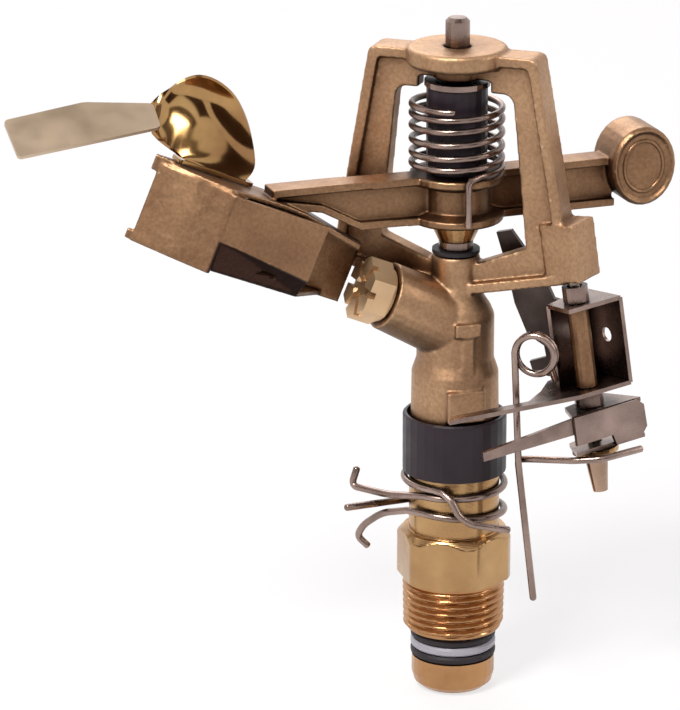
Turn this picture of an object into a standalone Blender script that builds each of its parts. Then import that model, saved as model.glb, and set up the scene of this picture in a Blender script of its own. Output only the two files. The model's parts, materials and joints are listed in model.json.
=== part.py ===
"""Part-circle impact sprinkler: a cast brass head that turns on a threaded riser nipple.

Sizes are in millimetres and are turned into metres where a mesh is made. The origin is on the
riser's axis, on the underside of the nipple's hexagon. +Z is up and the jet leaves towards -X.
"""

import math

import bmesh
import bpy
from mathutils import Matrix, Vector

MM = 0.001
GAP = 0.3  # between pieces that touch
STEPS = 32  # sides of a large round piece
FINE_STEPS = 20  # sides of a small one

# Riser nipple, from its threaded end upwards
THREAD_R = 13.2
THREAD_LENGTH = 14.5
THREAD_PITCH = 1.81
THREAD_DEPTH = 0.9
HEX_FLATS = 27.0
HEX_HEIGHT = 13.0
HEX_CORNER_R = 14.7  # the corners are turned down to this
HEX_TURN = 26.0  # degrees from +X to the first corner
BARREL_TOP = 30.5

# Bearing tube and the washers under the nipple
TUBE_R = 8.6
TUBE_BORE_R = TUBE_R - 1.4
TUBE_SCREWED_IN = 10.5
FOOT_R = TUBE_R + 2.1
FOOT_HEIGHT = 8.3
WASHER_R = TUBE_R + 2.4
BARREL_R = TUBE_R + GAP + 2.7
WASHER_THICK = {"upper_seal_washer": 1.9, "friction_washer": 2.2, "lower_seal_washer": 1.9}

# Dust sleeve and the spring it hides
SLEEVE_WALL = 1.0
SLEEVE_R = BARREL_R + 0.7 + SLEEVE_WALL
SLEEVE_BOTTOM = 29.0
SLEEVE_TOP = 44.2
SLEEVE_WEB = 1.3
TENSION_WIRE_R = 0.8
TENSION_TURNS = 3.0

# Body casting
BODY_BOTTOM = 42.0
COLLAR_R = TUBE_R + GAP + 2.4
COLLAR_TOP = 55.5
WATERWAY_R = 6.8
COLUMN_R = WATERWAY_R + 3.1
COLUMN_TOP = 70.5
PIVOT_BOSS_R = 6.05
PIVOT_BOSS_TOP = 86.5
JET_RISE = 23.0  # degrees above the horizon
MOUTH_X = -19.2
MOUTH_Z = 77.2
MOUTH_R = 8.7
ELBOW_ROOT_Z = 67.0
ELBOW_ROOT_TILT = 32.0
NOZZLE_SHANK_R = 5.4
NOZZLE_SHANK = 7.0
NOZZLE_FLANGE_R = 7.0
NOZZLE_HEX_FLATS = 14.5
NOZZLE_LENGTH = 7.4
NOZZLE_NOTCH = 1.7
NOZZLE_ORIFICE_R = 2.4

# Bridge: a T-section frame whose plane is turned about the riser from the jet
BRIDGE_TURN = -40.0
BRIDGE_TOP = 139.5
BRIDGE_TOP_HALF = 22.0
BRIDGE_FOOT_HALF = 32.0
BRIDGE_FOOT_Z = 82.5
BRIDGE_KEEL_HALF = 4.0
BRIDGE_KEEL_Z = 76.8
WINDOW_TOP = 129.3
WINDOW_TOP_HALF = 15.6
WINDOW_FOOT_HALF = 19.2
WINDOW_FOOT_Z = 90.0
WINDOW_SILL_HALF = 6.0
WINDOW_SILL_Z = 84.7
WEB_THICK = 5.0
FLANGE_WIDTH = 9.0
FLANGE_THICK = 2.7
CROWN_R = 12.8
CROWN_BOTTOM = 135.6
CROWN_TOP = 140.4
CROWN_HUB_R = 5.8
CROWN_HUB_BOTTOM = 132.0

# Fulcrum pin and what is threaded on it
PIN_R = 3.1
PIN_TOP = 147.6
PIN_SEAT = 80.0
RUBBER_WASHER_R = 6.1
RUBBER_WASHER_THICK = 1.0
THRUST_WASHER_R = 4.4
THRUST_WASHER_THICK = 1.8
BUSH_R = 6.3
BUSH_NECK_R = 4.6
SPRING_CUP_R = 8.3
SPRING_CUP_THICK = 1.4

# Drive arm
ARM_BOTTOM = 95.4
ARM_TOP = 108.0
HUB_R = 12.0
HUB_CORE_R = 8.6
HUB_RIM = 2.0
ARM_WEB = 3.6
ARM_FLANGE_WIDTH = 7.2
ARM_FLANGE = 2.0
ARM_KNEE_X = -27.0
ARM_TIP_X = -50.0
WEIGHT_X = 48.6
WEIGHT_Z = 106.0
WEIGHT_WIDE = 17.6
WEIGHT_TALL = 20.6
WEIGHT_THICK = 14.0
SWIVEL_SLEEVE_R = 7.75
STOP_LUG_BOTTOM = 98.4
STOP_LUG_TOP = 105.0

# Drive spoon, measured along the jet from the elbow's mouth, across it and above it
SPOON_SHEET = 1.6
SPOON_TOP = 13.3
SPOON_LID = 14.6
SPOON_BOTTOM = -6.8
SPOON_HALF = 8.2
SPOON_START = 25.0
SPOON_BEND = 51.5
SPOON_END = 68.3
SPOON_FAR_START = 7.2
SPOON_FAR_END = 48.0

# Splash vane: a bowl and a paddle in one polished sheet
VANE_SHEET = 1.0
# Rows across the bowl, from the paddle down to the foot: near end, far end and how deep the row bows
BOWL_ROWS = [
    ((-78.1, 4.0, 124.4), (-77.2, 13.0, 128.2), 0.0),
    ((-76.7, 4.2, 122.5), (-72.8, 12.0, 132.2), 2.0),
    ((-74.6, 4.6, 120.4), (-64.2, 10.5, 135.3), 4.5),
    ((-72.6, 4.4, 118.8), (-56.9, 8.6, 131.0), 5.5),
    ((-71.4, 4.2, 117.6), (-52.9, 6.5, 122.5), 3.8),
    ((-70.6, 4.2, 116.6), (-51.8, 5.0, 113.2), 1.0),
    ((-69.4, 4.6, 115.2), (-54.6, 4.6, 109.2), 0.0),
]
PADDLE_LEFT = ((-114.2, 12.8, 127.6), (-113.7, 2.0, 121.0))
PADDLE_MIDDLE = (-93.7, 13.0, 130.3)
VANE_RIVET_R = 1.1
VANE_RIVET_HEAD_R = 1.8

# Arm spring
ARM_WIRE_R = 0.85
ARM_COIL_R = 11.35
ARM_COIL_PITCH = 2.84
ARM_COIL_TURNS = 5.9

# Trip gear, on a pin that leans out from the riser
TRIP_REACH = 31.6  # from the riser's axis to the pin, at TRIP_Z
TRIP_Z = 80.0
TRIP_LEAN = 8.25
TRIP_PIN_R = 1.7
LUG_HALF = 5.0
LUG_TURN = -16.0
LUG_BOTTOM = 3.0
LUG_TOP = 18.0
HOUSING_TOP = -3.2
HOUSING_BOTTOM = -26.6
HOUSING_SHEET = 1.1
SPACER_R = 2.7
LEVER_TOP = -30.4
LEVER_BOTTOM = -41.0
TRIP_WASHER_R = 6.0
TRIP_WASHER_THICK = 1.2
TRIP_PIN_TIP = -53.0
TRIP_WIRE_R = 0.9
WIRE_EYE_R = 5.1
STRIKER_SHEET = 1.5

# Trip collars on the nipple's barrel
COLLAR_WIRE_R = 0.95
COLLAR_START = -127.0  # degrees in the collars' frame, where the first end meets the ring
UPPER_SWEEP = 372.0
UPPER_HEIGHTS = (24.6, 24.9, 25.3, 26.2, 26.9, 26.75)  # evenly spaced round the ring
UPPER_FIRST = ((-25.0, 3.2, 27.4), (-26.4, 3.2, 22.8), (-17.0, -3.3, 22.7), (-9.6, -8.9, 24.3))
UPPER_LAST = ((-3.2, -13.6, 26.7), (-1.0, -15.4, 25.2), (0.8, -15.9, 21.2), (3.8, -15.7, 19.0), (13.5, -13.0, 16.6))
LOWER_SWEEP = 264.0
LOWER_HEIGHTS = (19.9, 18.6, 17.4, 17.5)
LOWER_FIRST = ((-22.2, 0.6, 7.4), (-24.9, 1.8, 9.6), (-23.2, 0.9, 13.0), (-18.5, -2.3, 17.4), (-12.2, -6.9, 19.7))
LOWER_LAST = ((-10.2, 7.9, 17.7), (-27.5, -10.6, 21.8))

BRASS_CAST = ("cast_brass", (0.47, 0.31, 0.14), 0.38, 1.0)
BRASS_BRIGHT = ("turned_brass", (0.72, 0.50, 0.20), 0.22, 1.0)
BRASS_POLISHED = ("polished_brass", (0.80, 0.60, 0.25), 0.08, 1.0)
STEEL = ("stainless_steel", (0.52, 0.47, 0.44), 0.25, 1.0)
BLACK_PLASTIC = ("black_plastic", (0.02, 0.018, 0.02), 0.45, 0.0)
BLACK_RUBBER = ("black_rubber", (0.025, 0.022, 0.025), 0.6, 0.0)
WHITE_PLASTIC = ("white_plastic", (0.75, 0.75, 0.78), 0.4, 0.0)


def clear_scene():
    for old in list(bpy.data.objects):
        bpy.data.objects.remove(old, do_unlink=True)


def material(spec):
    name, colour, roughness, metallic = spec
    made = bpy.data.materials.get(name)
    if made is None:
        made = bpy.data.materials.new(name)
        made.use_nodes = True
        shader = made.node_tree.nodes["Principled BSDF"]
        shader.inputs["Base Color"].default_value = (*colour, 1.0)
        shader.inputs["Roughness"].default_value = roughness
        shader.inputs["Metallic"].default_value = metallic
    return made


def frame_of(origin, x_axis, y_axis):
    """The matrix of a frame given by its origin and two axes; the third completes it right-handed."""
    x_axis, y_axis = Vector(x_axis).normalized(), Vector(y_axis).normalized()
    z_axis = x_axis.cross(y_axis)
    turned_in = Matrix((x_axis, y_axis, z_axis)).transposed().to_4x4()
    return Matrix.Translation(Vector(origin)) @ turned_in


def turn(degrees):
    return Matrix.Rotation(math.radians(degrees), 4, "Z")


UPRIGHT = Matrix.Identity(4)
rise = math.radians(JET_RISE)
jet_way = Vector((-math.cos(rise), 0, math.sin(rise)))
# In the jet's frame X runs along the jet, Y across it towards -Y, and Z above it.
JET = frame_of((MOUTH_X, 0, MOUTH_Z), jet_way, (0, -1, 0))
outwards = Vector((math.cos(math.radians(BRIDGE_TURN)), math.sin(math.radians(BRIDGE_TURN)), 0))
# The bridge's outlines are drawn as (reach, height), and its thickness runs across them.
BRIDGE = frame_of((0, 0, 0), outwards, (0, 0, 1))
# The arm's outlines are drawn as (x, z), and its thickness runs along -Y.
ARM = frame_of((0, 0, 0), (1, 0, 0), (0, 0, 1))
lean = math.radians(TRIP_LEAN)
trip_out = outwards * math.cos(lean) + Vector((0, 0, math.sin(lean)))
trip_side = Vector((0, 0, 1)).cross(outwards)
# The trip frame's Z is the leaning pin, its X points away from the riser, and its -Y is the front.
TRIP = frame_of(outwards * TRIP_REACH + Vector((0, 0, TRIP_Z)), trip_out, trip_side)
# The collars' frame is turned so that X runs to the right in the photo, and Y away from its viewer.
COLLARS = turn(-20)


def finish(name, mesh, spec, sharp=35.0):
    thing = bpy.data.objects.new(name, mesh)
    bpy.context.scene.collection.objects.link(thing)
    if spec is None:
        thing.hide_render = True
        thing.display_type = "WIRE"
    else:
        mesh.materials.append(material(spec))
        mesh.shade_smooth()
        mesh.set_sharp_from_angle(angle=math.radians(sharp))
    return thing


def solid(name, points, faces, spec, frame=UPRIGHT):
    """A closed mesh from points in a frame, with its faces turned outwards. No spec makes a helper."""
    grown = bmesh.new()
    corners = [grown.verts.new(frame @ Vector(p) * MM) for p in points]
    for face in faces:
        grown.faces.new([corners[i] for i in face])
    bmesh.ops.recalc_face_normals(grown, faces=grown.faces)
    mesh = bpy.data.meshes.new(name)
    grown.to_mesh(mesh)
    grown.free()
    return finish(name, mesh, spec)


def turned(name, section, spec, frame=UPRIGHT, steps=STEPS):
    """A solid of revolution. The section lists (radius, height) and closes on the axis or on itself."""
    points, rings = [], []
    for radius, height in section:
        if radius == 0:
            rings.append([len(points)] * steps)
            points.append((0, 0, height))
            continue
        rings.append(list(range(len(points), len(points) + steps)))
        for k in range(steps):
            angle = math.tau * k / steps
            points.append((radius * math.cos(angle), radius * math.sin(angle), height))
    hollow = section[0][0] > 0
    faces = []
    for i in range(len(section) if hollow else len(section) - 1):
        below, above = rings[i], rings[(i + 1) % len(section)]
        for k in range(steps):
            following = (k + 1) % steps
            around = [below[k], below[following], above[following], above[k]]
            face = list(dict.fromkeys(around))
            if len(face) > 2:
                faces.append(face)
    return solid(name, points, faces, spec, frame)


def disc(name, radius, low, high, spec, frame=UPRIGHT, steps=STEPS):
    return turned(name, [(0, low), (radius, low), (radius, high), (0, high)], spec, frame, steps)


def ring(name, inner, outer, low, high, spec, frame=UPRIGHT, steps=STEPS):
    section = [(inner, low), (outer, low), (outer, high), (inner, high)]
    return turned(name, section, spec, frame, steps)


def loft(name, sections, spec, frame=UPRIGHT):
    """A skin through rings of points, closed by a face at each end."""
    size = len(sections[0])
    points = [p for section in sections for p in section]
    faces = [list(range(size)), list(range(len(points) - size, len(points)))]
    for i in range(len(sections) - 1):
        for k in range(size):
            a, b = i * size + k, i * size + (k + 1) % size
            faces.append([a, b, b + size, a + size])
    return solid(name, points, faces, spec, frame)


def prism(name, outline, low, high, spec, frame=UPRIGHT):
    ends = [[(x, y, z) for x, y in outline] for z in (low, high)]
    return loft(name, ends, spec, frame)


def box(name, low, high, spec, frame=UPRIGHT):
    (x0, y0, z0), (x1, y1, z1) = low, high
    return prism(name, [(x0, y0), (x1, y0), (x1, y1), (x0, y1)], z0, z1, spec, frame)


def hexagon(flats, first_corner=0.0):
    corner = flats / 2 / math.cos(math.pi / 6)
    angles = [math.radians(first_corner + 60 * k) for k in range(6)]
    return [(corner * math.cos(a), corner * math.sin(a)) for a in angles]


def arc(centre, radius, start, end, steps):
    """Points along an arc, in degrees."""
    x, y = centre
    angles = [math.radians(start + (end - start) * k / steps) for k in range(steps + 1)]
    return [(x + radius * math.cos(a), y + radius * math.sin(a)) for a in angles]


def inset(outline, distance):
    """An outline that runs anticlockwise, moved inwards by a distance."""
    moved = []
    for i, corner in enumerate(outline):
        here, before, after = Vector(corner), Vector(outline[i - 1]), Vector(outline[(i + 1) % len(outline)])
        first, second = (here - before).normalized(), (after - here).normalized()
        inward = Vector((-first.y, first.x)) + Vector((-second.y, second.x))
        inward *= distance / (1 + first.dot(second))
        moved.append(tuple(here + inward))
    return moved


def rounded(outline, radius, steps=3):
    """An outline with each corner turned into an arc."""
    softened = []
    for i, corner in enumerate(outline):
        here, before, after = Vector(corner), Vector(outline[i - 1]), Vector(outline[(i + 1) % len(outline)])
        back, ahead = (before - here).normalized(), (after - here).normalized()
        half = back.angle(ahead) / 2
        cut_back = min(radius / math.tan(half), (before - here).length / 2.2, (after - here).length / 2.2)
        start, end = here + back * cut_back, here + ahead * cut_back
        for k in range(steps + 1):
            t = k / steps
            softened.append(tuple(start * (1 - t) ** 2 + here * (2 * t * (1 - t)) + end * t**2))
    return softened


def ribbon(centre_line, thickness):
    """The outline of a sheet of one thickness that follows a line."""
    left, right = [], []
    for i, point in enumerate(centre_line):
        before, after = centre_line[max(i - 1, 0)], centre_line[min(i + 1, len(centre_line) - 1)]
        along = (Vector(after) - Vector(before)).normalized()
        side = Vector((-along.y, along.x)) * thickness / 2
        left.append(tuple(Vector(point) + side))
        right.append(tuple(Vector(point) - side))
    return left + right[::-1]


def with_boolean(thing, others, operation, solver="EXACT"):
    for other in others:
        change = thing.modifiers.new(f"{operation.lower()} {other.name}", "BOOLEAN")
        change.operation = operation
        change.object = other
        change.solver = solver
    return thing


def join(thing, *others, solver="EXACT"):
    return with_boolean(thing, others, "UNION", solver)


def cut(thing, *cutters, solver="EXACT"):
    return with_boolean(thing, cutters, "DIFFERENCE", solver)


def wire(name, route, radius, spec, frame=UPRIGHT, sides=2):
    """A round wire with closed ends along a list of points."""
    curve = bpy.data.curves.new(name, "CURVE")
    curve.dimensions = "3D"
    curve.bevel_depth = radius * MM
    curve.bevel_resolution = sides
    curve.use_fill_caps = True
    spline = curve.splines.new("POLY")
    spline.points.add(len(route) - 1)
    for spot, place in zip(spline.points, route):
        spot.co = (*(frame @ Vector(place) * MM), 1)
    curve.materials.append(material(spec))
    thing = bpy.data.objects.new(name, curve)
    bpy.context.scene.collection.objects.link(thing)
    return thing


def bent(corners, radius, steps=4):
    """A route through corners, each rounded to a bend."""
    route = [Vector(corners[0])]
    for before, here, after in zip(corners, corners[1:], corners[2:]):
        before, here, after = Vector(before), Vector(here), Vector(after)
        back, ahead = (before - here), (after - here)
        reach = min(radius, back.length / 2.2, ahead.length / 2.2)
        start, end = here + back.normalized() * reach, here + ahead.normalized() * reach
        for k in range(steps + 1):
            t = k / steps
            route.append(start * (1 - t) ** 2 + here * (2 * t * (1 - t)) + end * t**2)
    route.append(Vector(corners[-1]))
    return route


def coil(radius, low, high, turns, start=0.0, per_turn=20):
    """Points round a helix about Z, from low to high."""
    count = round(turns * per_turn)
    route = []
    for k in range(count + 1):
        angle = math.radians(start) + math.tau * turns * k / count
        height = low + (high - low) * k / count
        route.append(Vector((radius * math.cos(angle), radius * math.sin(angle), height)))
    return route


def riser_nipple():
    """Hexagon, tapered thread and smooth barrel, bored through for the bearing tube."""
    ridges = round(THREAD_LENGTH / THREAD_PITCH) - 1
    section = [(0, -THREAD_LENGTH), (THREAD_R - 1.8, -THREAD_LENGTH)]
    for k in range(ridges):
        root = -THREAD_LENGTH + THREAD_PITCH * (k + 0.6)
        section.append((THREAD_R - THREAD_DEPTH, root))
        section.append((THREAD_R, root + THREAD_PITCH / 2))
    neck = THREAD_R + 0.1
    section += [(neck, -1.3), (neck, 1.0), (0, 1.0)]
    nipple = turned("bearing_nipple", section, BRASS_BRIGHT, steps=24)
    nut = prism("nipple_hexagon", hexagon(HEX_FLATS, HEX_TURN), 0, HEX_HEIGHT, None)
    dome = [(0, -1), (HEX_CORNER_R, -1), (HEX_CORNER_R, HEX_HEIGHT - 1.0), (HEX_FLATS / 2 - 0.6, HEX_HEIGHT)]
    keep = turned("hexagon_dome", [*dome, (0, HEX_HEIGHT)], None, turn(HEX_TURN), 48)
    with_boolean(nut, [keep], "INTERSECT")
    barrel = [(0, HEX_HEIGHT - 1), (BARREL_R, HEX_HEIGHT - 1), (BARREL_R, BARREL_TOP - 0.6)]
    barrel += [(BARREL_R - 0.6, BARREL_TOP), (0, BARREL_TOP)]
    stem = turned("nipple_barrel", barrel, None)
    bore = disc("nipple_bore", TUBE_R + GAP, -THREAD_LENGTH - 1, BARREL_TOP + 1, None)
    return cut(join(nipple, nut, stem), bore)


def bearing_tube():
    """The flanged tube that hangs the head on the nipple and screws into the body."""
    washers = sum(WASHER_THICK.values()) + GAP * (len(WASHER_THICK) + 1)
    foot_top = -THREAD_LENGTH - washers
    foot_bottom = foot_top - FOOT_HEIGHT
    top = BODY_BOTTOM + TUBE_SCREWED_IN
    section = [(TUBE_BORE_R, foot_bottom), (FOOT_R - 2.2, foot_bottom), (FOOT_R - 0.6, foot_bottom + 1.4)]
    section += [(FOOT_R, foot_bottom + 3.6), (FOOT_R, foot_top), (TUBE_R, foot_top), (TUBE_R, top)]
    section.append((TUBE_BORE_R, top))
    turned("bearing_tube", section, BRASS_BRIGHT)
    height = foot_top
    for name in reversed(WASHER_THICK):
        low = height + GAP
        height = low + WASHER_THICK[name]
        spec = WHITE_PLASTIC if name == "friction_washer" else BLACK_RUBBER
        soft = 0.5
        section = [(TUBE_R + GAP, low), (WASHER_R - soft, low), (WASHER_R, low + soft)]
        section += [(WASHER_R, height - soft), (WASHER_R - soft, height), (TUBE_R + GAP, height)]
        turned(name, section, spec)


def dust_sleeve():
    """The sleeve round the tension spring. Its inner web is held between the spring and the body."""
    inner = SLEEVE_R - SLEEVE_WALL
    web_top = BODY_BOTTOM - GAP
    web_bottom = web_top - SLEEVE_WEB
    section = [(inner, SLEEVE_BOTTOM), (SLEEVE_R, SLEEVE_BOTTOM), (SLEEVE_R, SLEEVE_TOP - 0.4)]
    section += [(SLEEVE_R - 0.4, SLEEVE_TOP), (inner, SLEEVE_TOP), (inner, web_top)]
    section += [(TUBE_R + GAP, web_top), (TUBE_R + GAP, web_bottom), (inner, web_bottom)]
    turned("dust_sleeve", section, BLACK_PLASTIC)
    low = BARREL_TOP + GAP + TENSION_WIRE_R
    high = web_bottom - GAP - TENSION_WIRE_R
    radius = (TUBE_R + inner) / 2
    wire("tension_spring", coil(radius, low, high, TENSION_TURNS), TENSION_WIRE_R, STEEL)


def circle(centre, radius, tilt, steps=28):
    """A ring of points square to a direction in the XZ plane that rises by tilt degrees towards -X."""
    angle = math.radians(tilt)
    up = Vector((math.sin(angle), 0, math.cos(angle)))
    side = Vector((0, 1, 0))
    spots = []
    for k in range(steps):
        around = math.tau * k / steps
        spots.append(tuple(Vector(centre) + radius * (math.cos(around) * side + math.sin(around) * up)))
    return spots


def elbow():
    root = circle((0, 0, ELBOW_ROOT_Z), COLUMN_R - 0.4, ELBOW_ROOT_TILT)
    mouth = circle((MOUTH_X, 0, MOUTH_Z), MOUTH_R, JET_RISE)
    return loft("elbow_outer", [root, mouth], None)


def waterway():
    """The passage from the bearing tube to the elbow's mouth."""
    up = disc("waterway_up", WATERWAY_R, BODY_BOTTOM - 1, ELBOW_ROOT_Z, None, steps=24)
    narrow = NOZZLE_SHANK_R + GAP
    inner = Vector((MOUTH_X, 0, MOUTH_Z)) - jet_way * (NOZZLE_SHANK + 1)
    outer = Vector((MOUTH_X, 0, MOUTH_Z)) + jet_way * 2
    rings = [circle((0, 0, ELBOW_ROOT_Z - 2), WATERWAY_R - 1, 50, 24), circle(inner, narrow, JET_RISE, 24)]
    rings.append(circle(outer, narrow, JET_RISE, 24))
    out = loft("waterway_out", rings, None)
    seat = disc("tube_seat", TUBE_R + GAP, BODY_BOTTOM - 1, BODY_BOTTOM + TUBE_SCREWED_IN + GAP, None)
    return up, out, seat


def bridge_outline():
    right = [(BRIDGE_KEEL_HALF, BRIDGE_KEEL_Z), (BRIDGE_FOOT_HALF, BRIDGE_FOOT_Z)]
    right.append((BRIDGE_TOP_HALF, BRIDGE_TOP))
    return right + [(-x, z) for x, z in reversed(right)]


def window_outline():
    """The opening inside the bridge, with a pocket under the crown for the spring's cup."""
    pocket_half, pocket_top = SPRING_CUP_R + 1.2, CROWN_HUB_BOTTOM + 0.4
    right = [(WINDOW_SILL_HALF, WINDOW_SILL_Z), (WINDOW_FOOT_HALF, WINDOW_FOOT_Z)]
    right += arc((WINDOW_TOP_HALF - 2.6, WINDOW_TOP - 2.6), 2.6, 5, 90, 3)
    right += [(pocket_half, WINDOW_TOP), (pocket_half, pocket_top)]
    return right + [(-x, z) for x, z in reversed(right)]


def bridge():
    outline = rounded(bridge_outline(), 2.0)
    flange = prism("bridge_flange", outline, -FLANGE_WIDTH / 2, FLANGE_WIDTH / 2, None, BRIDGE)
    inside = rounded(inset(bridge_outline(), FLANGE_THICK), 1.5)
    cut(flange, prism("flange_inside", inside, -FLANGE_WIDTH, FLANGE_WIDTH, None, BRIDGE))
    web = prism("bridge_web", inset(outline, 0.4), -WEB_THICK / 2, WEB_THICK / 2, None, BRIDGE)
    cut(web, prism("bridge_window", window_outline(), -WEB_THICK, WEB_THICK, None, BRIDGE))
    hub_inside = CROWN_BOTTOM + 0.5
    crown = [(0, CROWN_HUB_BOTTOM), (CROWN_HUB_R, CROWN_HUB_BOTTOM), (CROWN_HUB_R, hub_inside - 0.5)]
    crown += [(CROWN_R - 0.8, CROWN_BOTTOM), (CROWN_R, CROWN_BOTTOM + 0.9), (CROWN_R, CROWN_TOP - 0.7)]
    crown += [(CROWN_R - 0.8, CROWN_TOP), (0, CROWN_TOP)]
    return flange, web, turned("bridge_crown", crown, None)


def body_casting():
    """Column, elbow, bridge, pivot boss and the lug that carries the trip gear, cast in one."""
    section = [(0, BODY_BOTTOM), (COLLAR_R, BODY_BOTTOM), (COLLAR_R - 0.2, COLLAR_TOP)]
    section += [(COLUMN_R, COLLAR_TOP + 3.5), (COLUMN_R, COLUMN_TOP), (COLUMN_R - 1.0, COLUMN_TOP + 2.4)]
    section += [(PIVOT_BOSS_R + 1.2, COLUMN_TOP + 4.8), (PIVOT_BOSS_R, COLUMN_TOP + 8.5)]
    section += [(PIVOT_BOSS_R, PIVOT_BOSS_TOP - 0.5), (PIVOT_BOSS_R - 0.5, PIVOT_BOSS_TOP), (0, PIVOT_BOSS_TOP)]
    body = turned("body_casting", section, BRASS_CAST)
    front = turn(-93)
    rib_face = COLUMN_R + 0.7
    rib = box("body_rib", (COLUMN_R - 3, -1.6, COLLAR_TOP - 8), (rib_face, 1.6, COLUMN_TOP - 2), None, front)
    head_low, head_high = (COLUMN_R - 3.3, -3.4, COLUMN_TOP - 3.6), (rib_face + 0.4, 3.4, COLUMN_TOP)
    head = box("body_rib_head", head_low, head_high, None, front)
    pad_face = COLLAR_R + 0.6
    pad_low, pad_high = (COLUMN_R - 3.6, -5.6, BODY_BOTTOM + 2.6), (pad_face, 4.4, COLLAR_TOP - 2.6)
    pad = box("body_pad", pad_low, pad_high, None, front)
    lug_size = (LUG_HALF, LUG_HALF, LUG_TOP)
    lug = box("trip_lug", (-LUG_HALF, -LUG_HALF, LUG_BOTTOM), lug_size, None, TRIP @ turn(LUG_TURN))
    flange, web, crown = bridge()
    # The exact solver leaves open edges round the seats of this casting.
    join(body, elbow(), flange, web, crown, lug, rib, head, pad, solver="MANIFOLD")
    pin_hole = disc("pin_hole", PIN_R + GAP, CROWN_HUB_BOTTOM - 1, CROWN_TOP + 1, None, steps=FINE_STEPS)
    seat_bottom = PIN_SEAT - GAP
    pin_seat = disc("pin_seat", PIN_R + GAP, seat_bottom, PIVOT_BOSS_TOP + 1, None, steps=FINE_STEPS)
    trip_seat_top = LUG_TOP - 3 + GAP
    trip_seat = disc("trip_pin_seat", TRIP_PIN_R + GAP, LUG_BOTTOM - 1, trip_seat_top, None, TRIP, 12)
    return cut(body, *waterway(), pin_hole, pin_seat, trip_seat, solver="MANIFOLD")


def nozzle():
    """A notched hexagonal nozzle screwed into the elbow's mouth."""
    along = frame_of((MOUTH_X, 0, MOUTH_Z), (0, 1, 0), jet_way.cross((0, 1, 0)))
    if (along.to_3x3() @ Vector((0, 0, 1))).dot(jet_way) < 0:
        along = frame_of((MOUTH_X, 0, MOUTH_Z), (0, 1, 0), -jet_way.cross((0, 1, 0)))
    section = [(0, -NOZZLE_SHANK), (NOZZLE_SHANK_R, -NOZZLE_SHANK), (NOZZLE_SHANK_R, GAP)]
    section += [(NOZZLE_FLANGE_R, GAP), (NOZZLE_FLANGE_R, GAP + 1.2), (0, GAP + 1.2)]
    made = turned("nozzle", section, BRASS_BRIGHT, along, 24)
    head = prism("nozzle_head", hexagon(NOZZLE_HEX_FLATS, 30), GAP + 0.9, NOZZLE_LENGTH, None, along)
    bore = [(0, -NOZZLE_SHANK - 1), (NOZZLE_SHANK_R - 1.2, -NOZZLE_SHANK - 1), (NOZZLE_ORIFICE_R, NOZZLE_LENGTH - 3)]
    bore += [(NOZZLE_ORIFICE_R, NOZZLE_LENGTH - 0.8), (NOZZLE_ORIFICE_R + 1.6, NOZZLE_LENGTH + 0.8)]
    bore.append((0, NOZZLE_LENGTH + 0.8))
    notches = []
    for k in range(3):
        low = (-NOZZLE_HEX_FLATS, -NOZZLE_NOTCH / 2, NOZZLE_LENGTH - NOZZLE_NOTCH)
        high = (NOZZLE_HEX_FLATS, NOZZLE_NOTCH / 2, NOZZLE_LENGTH + 1)
        notches.append(box(f"nozzle_notch_{k}", low, high, None, along @ turn(60 * k)))
    return cut(join(made, head), turned("nozzle_bore", bore, None, along, 16), *notches)


def pivot_stack():
    """The fulcrum pin and the washers, bush, sleeve and cup on it."""
    section = [(0, PIN_SEAT), (PIN_R, PIN_SEAT), (PIN_R, PIN_TOP - 0.9), (PIN_R - 0.9, PIN_TOP), (0, PIN_TOP)]
    turned("fulcrum_pin", section, STEEL, steps=FINE_STEPS)
    hole = PIN_R + GAP
    low = PIVOT_BOSS_TOP + GAP
    high = low + RUBBER_WASHER_THICK
    ring("rubber_washer", hole, RUBBER_WASHER_R, low, high, BLACK_RUBBER, steps=24)
    low = high + GAP
    high = low + THRUST_WASHER_THICK
    ring("thrust_washer", hole, THRUST_WASHER_R, low, high, STEEL, steps=FINE_STEPS)
    low = high + GAP
    high = ARM_BOTTOM - GAP
    section = [(hole, low), (BUSH_NECK_R, low), (BUSH_R, high - 1.2), (BUSH_R, high), (hole, high)]
    turned("arm_bush", section, BRASS_BRIGHT, steps=24)
    cup_top = CROWN_HUB_BOTTOM - GAP
    cup_bottom = cup_top - SPRING_CUP_THICK
    ring("spring_cup", hole, SPRING_CUP_R, cup_bottom, cup_top, STEEL, steps=24)
    ring("swivel_sleeve", hole, SWIVEL_SLEEVE_R, ARM_TOP + GAP, cup_bottom - GAP, BLACK_PLASTIC, steps=24)


def arm_spring():
    """The torsion spring round the sleeve. Its lower end turns down over the front of the hub."""
    low = ARM_TOP + GAP + ARM_WIRE_R
    high = low + ARM_COIL_PITCH * ARM_COIL_TURNS
    tang_angle = -98
    turns = coil(ARM_COIL_R, low, high, ARM_COIL_TURNS, tang_angle + 18)
    tang_r = HUB_R + GAP + ARM_WIRE_R
    at = math.radians(tang_angle)
    spot = Vector((tang_r * math.cos(at), tang_r * math.sin(at), 0))
    foot = [spot + Vector((0, 0, ARM_BOTTOM + 1.5)), spot + Vector((0, 0, low - 1.6))]
    foot += [spot * 1.0 + Vector((0.5, 0, low - 0.4))]
    wire("arm_spring", foot + turns, ARM_WIRE_R, STEEL)


def arm_beam(name, top_line, bottom_line):
    """An I-section beam in the arm's plane: a web between two flanges."""
    web = prism(f"{name}_web", top_line + bottom_line[::-1], -ARM_WEB / 2, ARM_WEB / 2, None, ARM)
    half = ARM_FLANGE_WIDTH / 2
    upper = [(x, z - ARM_FLANGE) for x, z in top_line]
    lower = [(x, z + ARM_FLANGE) for x, z in bottom_line]
    top = prism(f"{name}_top", top_line + upper[::-1], -half, half, None, ARM)
    bottom = prism(f"{name}_bottom", bottom_line + lower[::-1], -half, half, None, ARM)
    return web, top, bottom


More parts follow.
